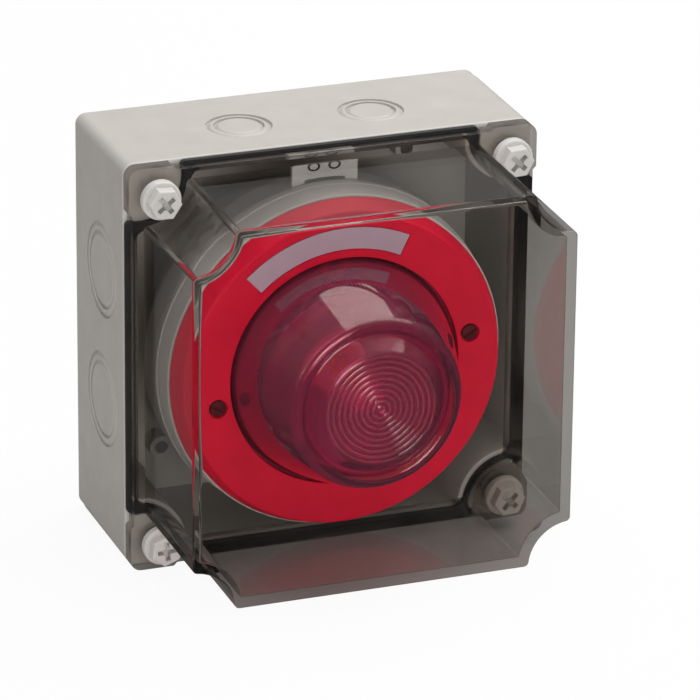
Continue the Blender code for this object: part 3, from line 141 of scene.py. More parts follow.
def stack(layers):
    """Solid through closed outlines of equal length, given as (height, outline) from back to front."""
    bm = bmesh.new()
    rings = [[bm.verts.new((x, y, height)) for x, y in outline] for height, outline in layers]
    bm.faces.new(list(reversed(rings[0])))
    bm.faces.new(rings[-1])
    for lower, upper in zip(rings, rings[1:]):
        for i in range(len(lower)):
            bm.faces.new((lower[i - 1], lower[i], upper[i], upper[i - 1]))
    return to_mesh(bm)


def plate(outline, low, high):
    return stack([(low, outline), (high, outline)])


def tube(layers):
    """Closed band through pairs of outlines (height, outline), the last joined to the first."""
    bm = bmesh.new()
    rings = [[bm.verts.new((x, y, height)) for x, y in outline] for height, outline in layers]
    for lower, upper in zip(rings, rings[1:] + rings[:1]):
        for i in range(len(lower)):
            bm.faces.new((lower[i - 1], lower[i], upper[i], upper[i - 1]))
    return to_mesh(bm)


def lathe(profile, steps=160, closed=False, shape=None):
    """Turn (radius, height) points about z. shape(index, angle) may add to the radius of a profile point."""
    bm = bmesh.new()
    columns = []
    poles = {}
    for i, (radius, height) in enumerate(profile):
        if radius == 0:
            poles[i] = bm.verts.new((0, 0, height))
    for step in range(steps):
        angle = 2 * math.pi * step / steps
        column = []
        for i, (radius, height) in enumerate(profile):
            if i in poles:
                column.append(poles[i])
                continue
            reach = radius + (shape(i, angle) if shape else 0.0)
            column.append(bm.verts.new((reach * math.cos(angle), reach * math.sin(angle), height)))
        columns.append(column)
    spans = list(zip(range(len(profile) - 1), range(1, len(profile))))
    if closed:
        spans.append((len(profile) - 1, 0))
    for step in range(steps):
        one, two = columns[step - 1], columns[step]
        for a, b in spans:
            corners = []
            for vert in (one[a], one[b], two[b], two[a]):
                if vert not in corners:
                    corners.append(vert)
            if len(corners) > 2:
                bm.faces.new(corners)
    return to_mesh(bm)


def rounded_rod(radius, low, high):
    """Rod along z with a rounded front edge."""
    edge = 0.3
    profile = [(0, high)] + arc(radius - edge, high - edge, edge, 90, 0, 3) + [(radius, low), (0, low)]
    return lathe(profile, 48)


def box_mesh(x_range, y_range, z_range):
    bm = bmesh.new()
    bmesh.ops.create_cube(bm, size=1.0)
    size = [high - low for low, high in (x_range, y_range, z_range)]
    centre = [(high + low) / 2 for low, high in (x_range, y_range, z_range)]
    bmesh.ops.scale(bm, vec=size, verts=bm.verts)
    bmesh.ops.translate(bm, vec=centre, verts=bm.verts)
    return to_mesh(bm)


def moved(mesh, x=0.0, y=0.0, turn=0.0):
    mesh.transform(Matrix.Translation((x, y, 0)) @ Matrix.Rotation(math.radians(turn), 4, "Z"))
    return mesh


def worked(mesh, steps):
    """Apply booleans to a mesh. steps are ("DIFFERENCE" or "UNION", mesh)."""
    target = bpy.data.objects.new("work", mesh)
    bpy.context.scene.collection.objects.link(target)
    helpers = []
    for operation, other in steps:
        helper = bpy.data.objects.new("work_tool", other)
        bpy.context.scene.collection.objects.link(helper)
        helpers.append(helper)
        mod = target.modifiers.new("cut", "BOOLEAN")
        mod.operation = operation
        mod.solver = "EXACT"
        mod.object = helper
    bpy.context.view_layer.update()
    done = bpy.data.meshes.new_from_object(target.evaluated_get(bpy.context.evaluated_depsgraph_get()))
    for obj in [target] + helpers:
        old = obj.data
        bpy.data.objects.remove(obj, do_unlink=True)
        bpy.data.meshes.remove(old)
    return done


def piece(name, mesh, body, material, replaced=(), x=0.0, y=0.0, turn=0.0, drop=False, angle=32.0):
    """Put a finished mesh in the world, smooth it and let it ride on its body."""
    place = Matrix.Translation((x, y - (DROP if drop else 0.0), 0))
    place = place @ Matrix.Rotation(math.radians(turn), 4, "Z")
    mesh.transform(WALL_TO_WORLD @ Matrix.Scale(MM, 4) @ place)
    mesh.name = name
    mesh.materials.clear()
    mesh.materials.append(material)
    for polygon in mesh.polygons:
        polygon.material_index = 0
    mesh.shade_smooth()
    mesh.set_sharp_from_angle(angle=math.radians(angle))
    obj = bpy.data.objects.new(name, mesh)
    bpy.context.scene.collection.objects.link(obj)
    mod = obj.modifiers.new("even_normals", "WEIGHTED_NORMAL")
    mod.keep_sharp = True
    mod.weight = 80
    bpy.context.view_layer.update()
    done = bpy.data.meshes.new_from_object(obj.evaluated_get(bpy.context.evaluated_depsgraph_get()))
    obj.modifiers.clear()
    obj.data = done
    done.name = name
    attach(obj, body)
    if replaced:
        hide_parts(*replaced)
    return obj


# ---------------------------------------------------------------- materials
def node(mat, kind, **values):
    made = mat.node_tree.nodes.new(kind)
    for key, value in values.items():
        setattr(made, key, value)
    return made


def link(mat, a, b):
    mat.node_tree.links.new(a, b)


def calc(mat, operation, one, two=0.5, clamp=False):
    """Result of a Math node. Each of one and two is a socket or a number."""
    made = node(mat, "ShaderNodeMath", operation=operation, use_clamp=clamp)
    for value, socket in zip((one, two), made.inputs):
        if isinstance(value, (int, float)):
            socket.default_value = value
        else:
            link(mat, value, socket)
    return made.outputs[0]


def noise(mat, coords, scale, detail=2.0, roughness=0.5):
    made = node(mat, "ShaderNodeTexNoise")
    made.inputs["Scale"].default_value = scale
    made.inputs["Detail"].default_value = detail
    made.inputs["Roughness"].default_value = roughness
    link(mat, coords, made.inputs["Vector"])
    return made.outputs["Fac"]


def ranged(mat, value, low, high, from_low=0.3, from_high=0.7):
    made = node(mat, "ShaderNodeMapRange")
    made.inputs["From Min"].default_value = from_low
    made.inputs["From Max"].default_value = from_high
    made.inputs["To Min"].default_value = low
    made.inputs["To Max"].default_value = high
    link(mat, value, made.inputs["Value"])
    return made.outputs["Result"]


def bumped(mat, shader, height, distance):
    made = node(mat, "ShaderNodeBump")
    made.inputs["Distance"].default_value = distance
    made.inputs["Strength"].default_value = 1.0
    link(mat, height, made.inputs["Height"])
    link(mat, made.outputs["Normal"], shader.inputs["Normal"])


def mixed_colour(mat, factor, one, two):
    """Colour between one and two. Each is a colour or a socket."""
    made = node(mat, "ShaderNodeMix", data_type="RGBA")
    for name, value in (("A", one), ("B", two)):
        socket = [entry for entry in made.inputs if entry.name == name and entry.type == "RGBA"][0]
        if isinstance(value, tuple):
            socket.default_value = (*value, 1)
        else:
            link(mat, value, socket)
    link(mat, factor, made.inputs["Factor"])
    return [out for out in made.outputs if out.type == "RGBA"][0]


def plastic(name, colour, roughness=0.42, grain=0.00002, grain_scale=2600.0, tone=0.06, patch_scale=90.0,
            metallic=0.0, specular=0.5):
    """Moulded plastic, metal or film: soft patches of tone, uneven sheen and a fine grain."""
    mat = bpy.data.materials.new(name)
    mat.use_nodes = True
    shader = mat.node_tree.nodes["Principled BSDF"]
    coords = node(mat, "ShaderNodeTexCoord").outputs["Object"]
    patches = noise(mat, coords, patch_scale, 3.0, 0.55)
    darker = tuple(max(0.0, value * (1 - tone)) for value in colour)
    lighter = tuple(min(1.0, value * (1 + tone)) for value in colour)
    link(mat, mixed_colour(mat, ranged(mat, patches, 0.0, 1.0), darker, lighter), shader.inputs["Base Color"])
    link(mat, ranged(mat, noise(mat, coords, patch_scale * 3, 2.0), roughness * 0.88, roughness * 1.14),
         shader.inputs["Roughness"])
    bumped(mat, shader, noise(mat, coords, grain_scale, 2.0, 0.6), grain)
    shader.inputs["Metallic"].default_value = metallic
    shader.inputs["Specular IOR Level"].default_value = specular
    return mat


def clear_plastic(name, colour, slanted, lets_through, guided, roughness, ior, ripple, ripple_scale,
                  clarity=1.0, coat=0.0):
    """See-through plastic. It tints more where it is looked through at a slant. Lamps and soft light reach
    what is inside it, tinted by lets_through. What a wall would catch and turn black leaves it tinted by
    guided."""
    mat = bpy.data.materials.new(name)
    mat.use_nodes = True
    shader = mat.node_tree.nodes["Principled BSDF"]
    output = mat.node_tree.nodes["Material Output"]
    coords = node(mat, "ShaderNodeTexCoord").outputs["Object"]
    facing = node(mat, "ShaderNodeLayerWeight").outputs["Facing"]
    slant = ranged(mat, facing, 0.0, 1.0, 0.2, 0.62)
    tone = calc(mat, "ADD", slant, ranged(mat, noise(mat, coords, 30.0, 2.0), -0.04, 0.04), clamp=True)
    link(mat, mixed_colour(mat, tone, colour, slanted), shader.inputs["Base Color"])
    link(mat, ranged(mat, noise(mat, coords, 70.0, 3.0), roughness * 0.6, roughness * 1.4),
         shader.inputs["Roughness"])
    bumped(mat, shader, noise(mat, coords, ripple_scale, 1.0), ripple)
    shader.inputs["Transmission Weight"].default_value = clarity
    shader.inputs["IOR"].default_value = ior
    shader.inputs["Coat Weight"].default_value = coat
    shader.inputs["Coat Roughness"].default_value = 0.015
    shader.inputs["Coat IOR"].default_value = 1.65
    beyond = calc(mat, "GREATER_THAN", facing, 1 - math.sqrt(1 - 1 / ior ** 2))
    caught = calc(mat, "MULTIPLY", beyond, node(mat, "ShaderNodeNewGeometry").outputs["Backfacing"])
    path = node(mat, "ShaderNodeLightPath")
    lighting = calc(mat, "MAXIMUM", path.outputs["Is Shadow Ray"], path.outputs["Is Diffuse Ray"])
    through = node(mat, "ShaderNodeBsdfTransparent")
    link(mat, mixed_colour(mat, lighting, guided, lets_through), through.inputs["Color"])
    mix = node(mat, "ShaderNodeMixShader")
    link(mat, calc(mat, "MAXIMUM", lighting, caught), mix.inputs["Fac"])
    link(mat, shader.outputs["BSDF"], mix.inputs[1])
    link(mat, through.outputs["BSDF"], mix.inputs[2])
    link(mat, mix.outputs["Shader"], output.inputs["Surface"])
    return mat


def painted_ring_highlights(mat, reach, front, colour):
    """Painted highlights on the tops of the ring ridges round the beacon axis: a lighter colour there than
    what lies between them.
    """
    shader = mat.node_tree.nodes["Principled BSDF"]
    split = node(mat, "ShaderNodeSeparateXYZ")
    link(mat, node(mat, "ShaderNodeTexCoord").outputs["Object"], split.inputs[0])
    flat = node(mat, "ShaderNodeCombineXYZ")
    link(mat, split.outputs["X"], flat.inputs["X"])
    link(mat, calc(mat, "ADD", split.outputs["Z"], DROP * MM), flat.inputs["Y"])
    away = node(mat, "ShaderNodeVectorMath", operation="LENGTH")
    link(mat, flat.outputs[0], away.inputs[0])
    turns = calc(mat, "MULTIPLY", away.outputs["Value"], 2 * math.pi / (RING_PITCH * MM))
    # painted highlight mask: strongest on the tops of the ring ridges
    ridge = ranged(mat, calc(mat, "COSINE", turns), 1.0, 0.0, -1.0, 0.1)
    within = ranged(mat, away.outputs["Value"], 1.0, 0.0, (reach - 0.3) * MM, reach * MM)
    ahead = ranged(mat, split.outputs["Y"], 1.0, 0.0, (0.1 - front) * MM, (0.6 - front) * MM)
    share = calc(mat, "MULTIPLY", calc(mat, "MULTIPLY", ridge, within), ahead)
    under = shader.inputs["Base Color"].links[0].from_socket
    link(mat, mixed_colour(mat, share, under, colour), shader.inputs["Base Color"])


CASE_GREY = plastic("case_grey", (0.50, 0.475, 0.44), 0.40, tone=0.035)
SMOKED = clear_plastic("smoked_clear", (0.63, 0.61, 0.585), (0.46, 0.44, 0.42), (0.97, 0.965, 0.96),
                       (0.62, 0.60, 0.58), 0.012, 1.26, 0.00004, 22.0)
PALE = plastic("pale_screw", (0.60, 0.58, 0.55), 0.38, tone=0.05, specular=0.45)
RUBBER = plastic("black_seal", (0.018, 0.018, 0.018), 0.62, tone=0.2)
BEACON_GREY = plastic("beacon_grey", (0.60, 0.57, 0.54), 0.42, tone=0.04)
CARD_WHITE = plastic("card_white", (0.86, 0.85, 0.83), 0.42, tone=0.03)
FLANGE_RED = plastic("flange_red", (0.84, 0.006, 0.045), 0.36, tone=0.07, specular=0.28)
BAND_FILM = plastic("band_film", (0.60, 0.45, 0.56), 0.36, tone=0.04)
DARK_STEEL = plastic("dark_steel", (0.16, 0.02, 0.03), 0.45, metallic=0.5)
RED_CLEAR = clear_plastic("red_clear", (0.70, 0.13, 0.29), (0.42, 0.12, 0.25), (0.92, 0.28, 0.44),
                          (0.46, 0.05, 0.18), 0.02, 1.5, 0.00002, 60.0, clarity=0.84, coat=1.0)
# painted highlight: the ridges of the dome's ringed centre get a lighter pink colour
painted_ring_highlights(RED_CLEAR, 17.9, 94.0, (0.95, 0.42, 0.52))
MIRROR = plastic("mirror_film", (0.86, 0.86, 0.87), 0.24, metallic=1.0, tone=0.02)
ZINC = plastic("zinc_steel", (0.60, 0.60, 0.58), 0.34, metallic=1.0)
BRASS = plastic("brass", (0.70, 0.50, 0.22), 0.30, metallic=1.0)
ALUMINIUM = plastic("aluminium", (0.60, 0.61, 0.62), 0.36, metallic=1.0)
COPPER = plastic("copper_winding", (0.55, 0.24, 0.10), 0.38, metallic=1.0, grain=0.00008,
                 grain_scale=1800.0)
TERMINAL = plastic("terminal_cream", (0.70, 0.68, 0.62), 0.46)
GREEN_BOARD = plastic("board_green", (0.03, 0.15, 0.07), 0.36, tone=0.15, patch_scale=260.0)
WHITE_BOARD = plastic("board_white", (0.78, 0.78, 0.76), 0.38, tone=0.03)
YELLOW_CHIP = plastic("chip_yellow", (0.85, 0.62, 0.10), 0.35)
BLACK = plastic("black_moulding", (0.02, 0.02, 0.022), 0.40, tone=0.2)


# ---------------------------------------------------------------- case
def case_layers():
    rear, band_depth, band_step, edge = 1.0, 6.6, 0.2, 0.8
    layers = []
    for a in [math.radians(90 - 90 * i / 8) for i in range(9)]:
        layers.append((rear * (1 - math.sin(a)), band_step + rear * (1 - math.cos(a))))
    layers += [(band_depth - band_step, band_step), (band_depth - band_step / 2, band_step * 0.3),
               (band_depth, 0)]
    for a in [math.radians(90 * i / 4) for i in range(5)]:
        layers.append((CASE_RIM - edge * (1 - math.sin(a)), edge * (1 - math.cos(a))))
    return [(height, rounded_square(CASE_HALF - inset, CASE_CORNER - inset)) for height, inset in layers]


def groove_ring(radius, wall, place):
    """Groove of a knock-out, standing square to one side wall: a steep outer side and a gentle inner one."""
    out, face, floor = CASE_HALF + 0.3, CASE_HALF, CASE_HALF - 0.75
    profile = [(radius + 0.02, out), (radius + 0.02, face), (radius - 0.05, face - 0.07),
               (radius - 0.12, floor), (radius - 0.3, floor - 0.08), (radius - 0.5, floor),
               (radius - 1.35, face - 0.12), (radius - 1.7, face), (radius - 1.7, out)]
    mesh = lathe(profile, 72, closed=True)
    mesh.transform(Matrix.Rotation(-math.pi / 2, 4, "X"))
    mesh.transform(Matrix.Translation((place, 0, KNOCKOUT_DEPTH)))
    mesh.transform(Matrix.Rotation(-wall * math.pi / 2, 4, "Z"))
    return mesh


def make_case():
    inside, hollow, flare = CASE_HALF - CASE_WALL, 17.06, 0.3
    cavity = hollow_cornered(inside, hollow, 0.8)
    mouth = hollow_cornered(inside + flare, hollow - flare, 0.8)
    steps = [("DIFFERENCE", stack([(CASE_WALL, cavity), (CASE_RIM - flare, cavity), (CASE_RIM, mouth),
                                   (CASE_RIM + 2.0, mouth)]))]
    for sx, sy in CORNERS.values():
        hole_x, hole_y = WALL_HOLE_AT
        steps.append(("DIFFERENCE", moved(rounded_rod(2.9, 30.0, 52.0), sx * SCREW_AT, sy * SCREW_AT)))
        steps.append(("UNION", moved(rounded_rod(3.7, 1.5, 10.0), sx * 39.0, sy * 45.0)))
        steps.append(("DIFFERENCE", moved(rounded_rod(2.1, 3.0, 12.0), sx * 39.0, sy * 45.0)))
        steps.append(("DIFFERENCE", moved(rounded_rod(2.3, -2.0, CASE_WALL - 0.8), sx * hole_x, sy * hole_y)))
    for side in (-1, 1):
        steps.append(("UNION", moved(rounded_rod(3.7, 1.5, 12.0), side * SPACER_BOSS_AT, -DROP)))
        steps.append(("DIFFERENCE", moved(rounded_rod(1.7, 3.0, 14.0), side * SPACER_BOSS_AT, -DROP)))
    for wall, shift, radii in KNOCKOUTS:
        for side in (-1, 1):
            for radius in radii:
                steps.append(("DIFFERENCE", groove_ring(radius, wall, side * KNOCKOUT_PITCH + shift)))
    return piece("case_shell", worked(stack(case_layers()), steps), "enclosure", CASE_GREY,
                 ("base_box",))


def make_gasket():
    outer, inner, back, edge = 64.8, 62.2, CASE_RIM + 0.35, 0.1
    sides = [(outer - edge / 2, back), (outer, back + edge), (outer, SEAL_FRONT - edge),
             (outer - edge, SEAL_FRONT), (inner + edge, SEAL_FRONT), (inner, SEAL_FRONT - edge),
             (inner, back + edge), (inner + edge / 2, back)]
    layers = []
    for reach, height in sides:
        set_in = outer - reach
        layers.append((height, hollow_cornered(reach, HOOD_HOLLOW - 0.24 + set_in, HOOD_TIP + set_in)))
    return piece("seal_cord", tube(layers), "enclosure", RUBBER, ("lid_gasket",))


# ---------------------------------------------------------------- hood
def rim_outline(inset=0.0):
    """Outline of the lid's rim: the four ears reach the case's sides, the stretches between stand back."""
    ear, step = CASE_HALF - 13.8, 1.1
    stepped, half, along = CASE_HALF - step, CASE_HALF - inset, inset * 0.4
    corner = [(stepped - inset, ear - step + along), (half, ear + along)]
    corner += arc(CASE_HALF - CASE_CORNER, CASE_HALF - CASE_CORNER, CASE_CORNER - inset, 0, 90, 8)
    corner += [(ear + along, half), (ear - step + along, stepped - inset)]
    return four_corners(corner)


def hood_at(height, inset, tip):
    start = 51.15
    half = HOOD_HALF - HOOD_DRAFT * (height - start) / (FRONT - start) - inset
    return (height, hollow_cornered(half, HOOD_HOLLOW + inset, tip))


def make_hood():
    edge, front, inside = 0.5, 0.6, 1.1
    rim = [(LID_BACK, rim_outline(edge * 0.6)), (LID_BACK + edge * 0.6, rim_outline(0.0))]
    rim += [(LID_FRONT - edge * (1 - math.sin(a)), rim_outline(edge * (1 - math.cos(a))))
            for a in (math.radians(90 * i / 4) for i in range(5))]
    quarter = [math.radians(90 * i / 6) for i in range(7)]
    hood = [hood_at(51.0, 0.0, HOOD_TIP)]
    for a in quarter:
        inset = front * (1 - math.cos(a))
        hood.append(hood_at(FRONT - front * (1 - math.sin(a)), inset, HOOD_TIP - inset))
    hollow = [hood_at(24.0, HOOD_WALL, 0.7)]
    for a in quarter:
        inset = HOOD_WALL + inside * (1 - math.cos(a))
        hollow.append(hood_at(FRONT - HOOD_WALL - inside * (1 - math.sin(a)), inset, max(3.2 - inset, 0.35)))
    outer, inner = hollow_cornered(65.1, 12.96, 1.4), hollow_cornered(61.6, 16.1, 1.4)
    low, high = 47.0, SEAL_FRONT + 0.3
    channel = [(low, outer), (high, outer), (high, inner), (low, inner)]
    steps = [("UNION", stack(hood)), ("DIFFERENCE", stack(hollow)), ("DIFFERENCE", tube(channel))]
    for sx, sy in CORNERS.values():
        steps.append(("DIFFERENCE", moved(rounded_rod(3.3, 24.0, 80.0), sx * SCREW_AT, sy * SCREW_AT)))
    for place, depth in MOULD_RINGS_AT:
        for radius in (4.1, 3.2):
            out, face, floor = HOOD_HALF + 0.9, HOOD_HALF - 0.1, HOOD_HALF - 0.35
            ring = lathe([(radius + 0.2, out), (radius + 0.2, face), (radius, floor), (radius - 0.2, face),
                          (radius - 0.2, out)], 48, closed=True)
            ring.transform(Matrix.Rotation(math.pi / 2, 4, "X"))
            ring.transform(Matrix.Translation((place, 0, depth)))
            steps.append(("DIFFERENCE", ring))
    return piece("clear_hood", worked(stack(rim), steps), "lid", SMOKED, ("lid",),
                 angle=28.0)


def make_lid_screws():
    bottom, collar, top, end = 55.4, 58.4, 62.2, 34.0
    wide, shank, flats = 6.1, 2.5, 5.1
    for name, (sx, sy) in CORNERS.items():
        profile = [(0, collar)] + arc(wide - 0.8, collar - 0.8, 0.8, 90, 0, 4)
        profile += arc(wide - 0.3, bottom + 0.3, 0.3, 0, -90, 2)
        profile += [(shank, bottom), (shank, end + 0.8), (shank - 0.8, end), (0, end)]
        hexagon = arc(0, 0, flats, 0, 300, 5)
        layers = [(collar - 1.4, hexagon), (top - 0.55, hexagon),
                  (top - 0.15, arc(0, 0, flats - 0.25, 0, 300, 5)), (top, arc(0, 0, flats - 0.6, 0, 300, 5))]
        steps = [("UNION", moved(stack(layers), turn=CROSS_TURN[name] + 18.0))]
        for arm in range(2):
            slot = box_mesh((-3.1, 3.1), (-0.8, 0.8), (top - 2.6, top + 2.0))
            steps.append(("DIFFERENCE", moved(slot, turn=CROSS_TURN[name] + 90 * arm)))
        recess = [(0, top + 1.0), (1.6, top + 1.0), (1.4, top - 1.8), (0.5, top - 2.9), (0, top - 2.9)]
        steps.append(("DIFFERENCE", lathe(recess, 24)))
        piece("captive_screw_" + name, worked(lathe(profile, 64), steps), "lid_screw_" + name, PALE,
              ("lid_screw_" + name,), x=sx * SCREW_AT, y=sy * SCREW_AT, angle=24.0)
        section = [(3.45 + 0.5 * math.cos(a), LID_FRONT + 0.72 + 0.52 * math.sin(a))
                   for a in (math.radians(36 * i) for i in range(10))]
        piece("seal_ring_" + name, lathe(section, 56, closed=True), "lid", RUBBER,
              ("screw_seal_" + name,), x=sx * SCREW_AT, y=sy * SCREW_AT)


# ---------------------------------------------------------------- mounting base, card and head
def make_mounting_base():
    back, floor, rim = 35.5, 37.7, 53.2
    profile = [(11.0, floor), (50.8, floor), (50.8, MOUNT_PARTING - 0.3), (51.1, MOUNT_PARTING),
               (rim - 0.4, MOUNT_PARTING), (rim, MOUNT_PARTING - 0.4), (rim, back + 0.8),
               (rim - 0.3, back + 0.25), (rim - 0.8, back), (11.0, back)]
    steps = []
    for index in range(3):
        middle = LUG_TURN + 120 * index
        steps.append(("UNION", plate(ring_sector(47.4, 52.0, middle - 7, middle + 7, 16), 43.7, 44.98)))
    for side in (-1, 1):
        steps.append(("DIFFERENCE", moved(rounded_rod(2.0, 18.0, 50.0), side * 30.0)))
    steps.append(("DIFFERENCE", box_mesh((-10.8, 10.8), (40.6, 64.0), (42.9, 54.0))))
    piece("twist_mount", worked(lathe(profile, 160, closed=True), steps), "enclosure", BEACON_GREY,
          ("mounting_base",), drop=True)


def make_card():
    half, top, corner, back, front = 10.5, 60.7, 1.4, 43.2, 44.8
    outer = [(-half, 47.8), (half, 47.8), (half, top - corner)]
    outer += arc(half - corner, top - corner, corner, 0, 90, 8)[1:]
    outer += arc(corner - half, top - corner, corner, 90, 180, 8)
    slot_outer, slot_inner = 54.2, 52.0
    slot_half = math.degrees(math.asin((half - 4.0) / slot_outer))
    slot = arc(0, 0, slot_outer, 90 - slot_half, 90 + slot_half, 16)
    slot += arc(0, 0, slot_inner, 90 + slot_half, 90 - slot_half, 16)
    body = worked(plate(outer, back, front), [("DIFFERENCE", plate(slot, 40.0, 48.0))])
    bm = bmesh.new()
    bm.from_mesh(body)
    bmesh.ops.dissolve_limit(bm, angle_limit=0.01, verts=bm.verts, edges=bm.edges)
    sharp = [e for e in bm.edges if len(e.link_faces) == 2 and e.calc_face_angle(0) > math.radians(60)]
    bmesh.ops.bevel(bm, geom=sharp, offset=0.18, segments=2, affect="EDGES", profile=0.5)
    piece("tab_card", to_mesh(bm), "enclosure", CARD_WHITE, ("address_card",), drop=True)
    for label, at in (("one", -3.6), ("two", 3.0)):
        low, high = front - 0.02, front + 0.12
        ring = lathe([(2.0, low), (2.0, high), (1.35, high), (1.35, low)], 40, closed=True)
        ring.transform(Matrix.Scale(0.72, 4, (0, 1, 0)))
        piece("tab_mark_" + label, ring, "enclosure", BLACK, x=at, y=58.0, drop=True)


def flange_screw_at(side):
    angle = math.radians(FLANGE_SCREW_TURN)
    return FLANGE_SCREW_AT * math.cos(angle) * side, FLANGE_SCREW_AT * math.sin(angle) * side


def make_head():
    rim, back, step, web, front = 53.5, MOUNT_PARTING + 0.3, 48.3, 54.5, FLANGE_BACK - 0.3
    profile = [(51.8, front)] + arc(51.9, front - 0.7, 0.7, 80, 15, 4) + [(53.1, 49.6)]
    profile += arc(rim - 0.6, 48.5, 0.6, 60, 0, 3)
    profile += [(rim, back + 0.3), (rim - 0.3, back), (51.3, back), (51.3, step), (50.4, web), (47.0, web),
                (47.0, 41.1), (44.8, 41.1), (44.8, web), (36.5, web), (36.5, front)]
    steps = []
    for index in range(3):
        middle = LUG_TURN + 120 * index
        steps.append(("UNION", plate(ring_sector(45.9, 50.4, middle - 5.5, middle + 5.5, 12), 41.5, 43.3)))
    for side in (-1, 1):
        x, y = flange_screw_at(side)
        steps.append(("UNION", moved(rounded_rod(2.7, 50.7, 55.6), x, y)))
        steps.append(("DIFFERENCE", moved(rounded_rod(1.7, 51.5, FLANGE_FRONT), x, y)))
    piece("head_ring", worked(lathe(profile, 176, closed=True), steps), "head", BEACON_GREY,
          ("head_housing",), drop=True)


def make_flange():
    front, back, plate_back, bore, edge = FLANGE_FRONT, FLANGE_BACK, FLANGE_FRONT - 2.0, 36.6, 1.1
    profile = [(bore, front - 0.2), (bore + 0.2, front)] + arc(48.9, front - edge, edge, 90, 20, 6)
    profile += [(52.0, back + 0.2), (51.9, back), (50.0, back), (49.0, plate_back), (bore, plate_back)]
    steps = []
    for side in (-1, 1):
        x, y = flange_screw_at(side)
        sink = [(0, 66.0), (3.2, 66.0), (3.15, front - 0.1), (3.0, front - 0.3), (3.0, front - 1.2),
                (0, front - 1.2)]
        steps.append(("DIFFERENCE", moved(rounded_rod(1.7, 45.0, FRONT), x, y)))
        steps.append(("DIFFERENCE", moved(lathe(sink, 48), x, y)))
    start, end = BAND_TURNS
    seat = plate(ring_sector(39.1, 46.5, start - 0.5, end + 0.5, 64), front - 0.55, 80.0)
    steps.append(("DIFFERENCE", seat))
    piece("red_flange", worked(lathe(profile, 176, closed=True), steps), "head", FLANGE_RED,
          ("front_flange",), drop=True)
    piece("bare_band", plate(ring_sector(39.4, 46.2, start, end, 64), front - 0.3, front), "head", BAND_FILM,
          ("front_band",), drop=True)
    for label, side in (("left", -1), ("right", 1)):
        x, y = flange_screw_at(side)
        under, shank, end_at = front - 0.9, 1.4, 53.6
        profile = [(0, front)] + arc(1.9, front - 0.7, 0.7, 80, 0, 4)
        profile += [(2.65, under), (shank, under), (shank, end_at), (0, end_at)]
        slot = box_mesh((-3.2, 3.2), (-0.4, 0.4), (front - 0.45, front + 0.7))
        piece("sunk_screw_" + label, worked(lathe(profile, 40), [("DIFFERENCE", slot)]), "head", DARK_STEEL,
              ("flange_screw_" + label,), x=x, y=y, turn=30 * side, drop=True)


def dome_profile():
    """Outside from the middle of the ringed centre to the foot, then the clamped lip, then the inside, and
    the numbers of the first and last points of the inner side, which carries the ribs."""
    rings, ridge, side = 10, 0.16, 8
    outside = [(0, DOME_FRONT + 0.3), (0.35, DOME_FRONT + 0.26)]
    pitch = RINGED_RADIUS / rings
    for index in range(rings):
        for share in (0.25, 0.5, 0.75, 1.0):
            if index == 0 and share < 0.5:
                continue
            rise = ridge * math.cos(2 * math.pi * (share - 0.5))
            outside.append((pitch * (index + share), DOME_FRONT + rise))
    outside += [(18.1, 94.3), (18.4, 93.95), (21.75, 90.3), (22.1, 90.05), (22.5, 89.98)]
    outside += arc(25.0, 89.2, 2.4, 152, 17, 14)
    crest_r, crest_z = outside[-1]
    foot_r, foot_z, bulge = 36.0, 61.6, 0.2
    for i in range(1, side + 1):
        share = i / side
        outside.append((crest_r + (foot_r - crest_r) * share + bulge * math.sin(math.pi * share),
                        crest_z + (foot_z - crest_z) * share))
    outside += [(foot_r, 61.0), (45.7, 61.0), (46.0, 60.7), (46.0, 59.3), (45.7, 59.0), (34.0, 59.0)]
    inside = [(34.0, 61.0)]
    for i in range(1, side + 1):
        share = i / side
        inside.append((34.0 + (25.4 - 34.0) * share + bulge * math.sin(math.pi * share), 61.0 + 26.3 * share))
    inside += [(25.0, 87.7), (24.5, 87.95), (21.0, 88.0), (20.6, 88.15), (17.4, 91.9), (17.0, 92.2),
               (16.6, 92.3), (0, 92.3)]
    return outside + inside, len(outside) + 1, len(outside) + side


def make_dome():
    profile, first, last = dome_profile()

    def ribbed(index, angle):
        if not first <= index <= last:
            return 0.0
        return -0.10 * math.sin(angle * RIBS / 2) ** 2

    steps = []
    for side in (-1, 1):
        x, y = flange_screw_at(side)
        steps.append(("DIFFERENCE", moved(rounded_rod(1.7, 45.0, 62.0), x, y)))
    piece("ribbed_dome", worked(lathe(profile, RIBS * 4, shape=ribbed), steps), "head", RED_CLEAR,
          ("dome_lens",), drop=True, angle=40.0)


def make_bowl():
    back, depth, wall, hole, width, steps = 57.6, 10.8, 1.2, 9.0, 18.0, 24
    inside = [(hole + width * i / steps, back + wall + depth * (i / steps) ** 2) for i in range(steps + 1)]
    mouth, front = inside[-1]
    outside = [(mouth + 0.7, front - 0.1), (mouth + 0.7, front - 0.5)]
    outside += [(r, z - wall) for r, z in reversed(inside[:-1])]
    piece("bright_bowl", lathe(inside + outside, 120, closed=True), "head", MIRROR,
          ("reflector_bowl",), drop=True, angle=40.0)


make_case()
make_gasket()
make_hood()
make_lid_screws()
make_mounting_base()
make_card()
make_head()
make_flange()
make_dome()
make_bowl()

# ---------------------------------------------------------------- carried-over nodes
CARRIED = {
    "spacer_box": BEACON_GREY, "spacer_screw": ZINC, "base_screw": ZINC, "terminal_block": TERMINAL,
    "terminal_screw": BRASS, "contact_spring": BRASS, "contact_blade": BRASS, "lens_seal": RUBBER,
    "rear_cover": BEACON_GREY, "driver_board": GREEN_BOARD, "board_screw": ZINC, "capacitor": BLACK,
    "inductor": COPPER, "controller": BLACK, "heat_sink": ALUMINIUM, "lamp_board": WHITE_BOARD,
    "lamp_emitter": YELLOW_CHIP,
}
for node_name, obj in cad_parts.items():
    for prefix, material in CARRIED.items():
        if node_name.startswith(prefix):
            for index in range(len(obj.material_slots)):
                obj.material_slots[index].material = material

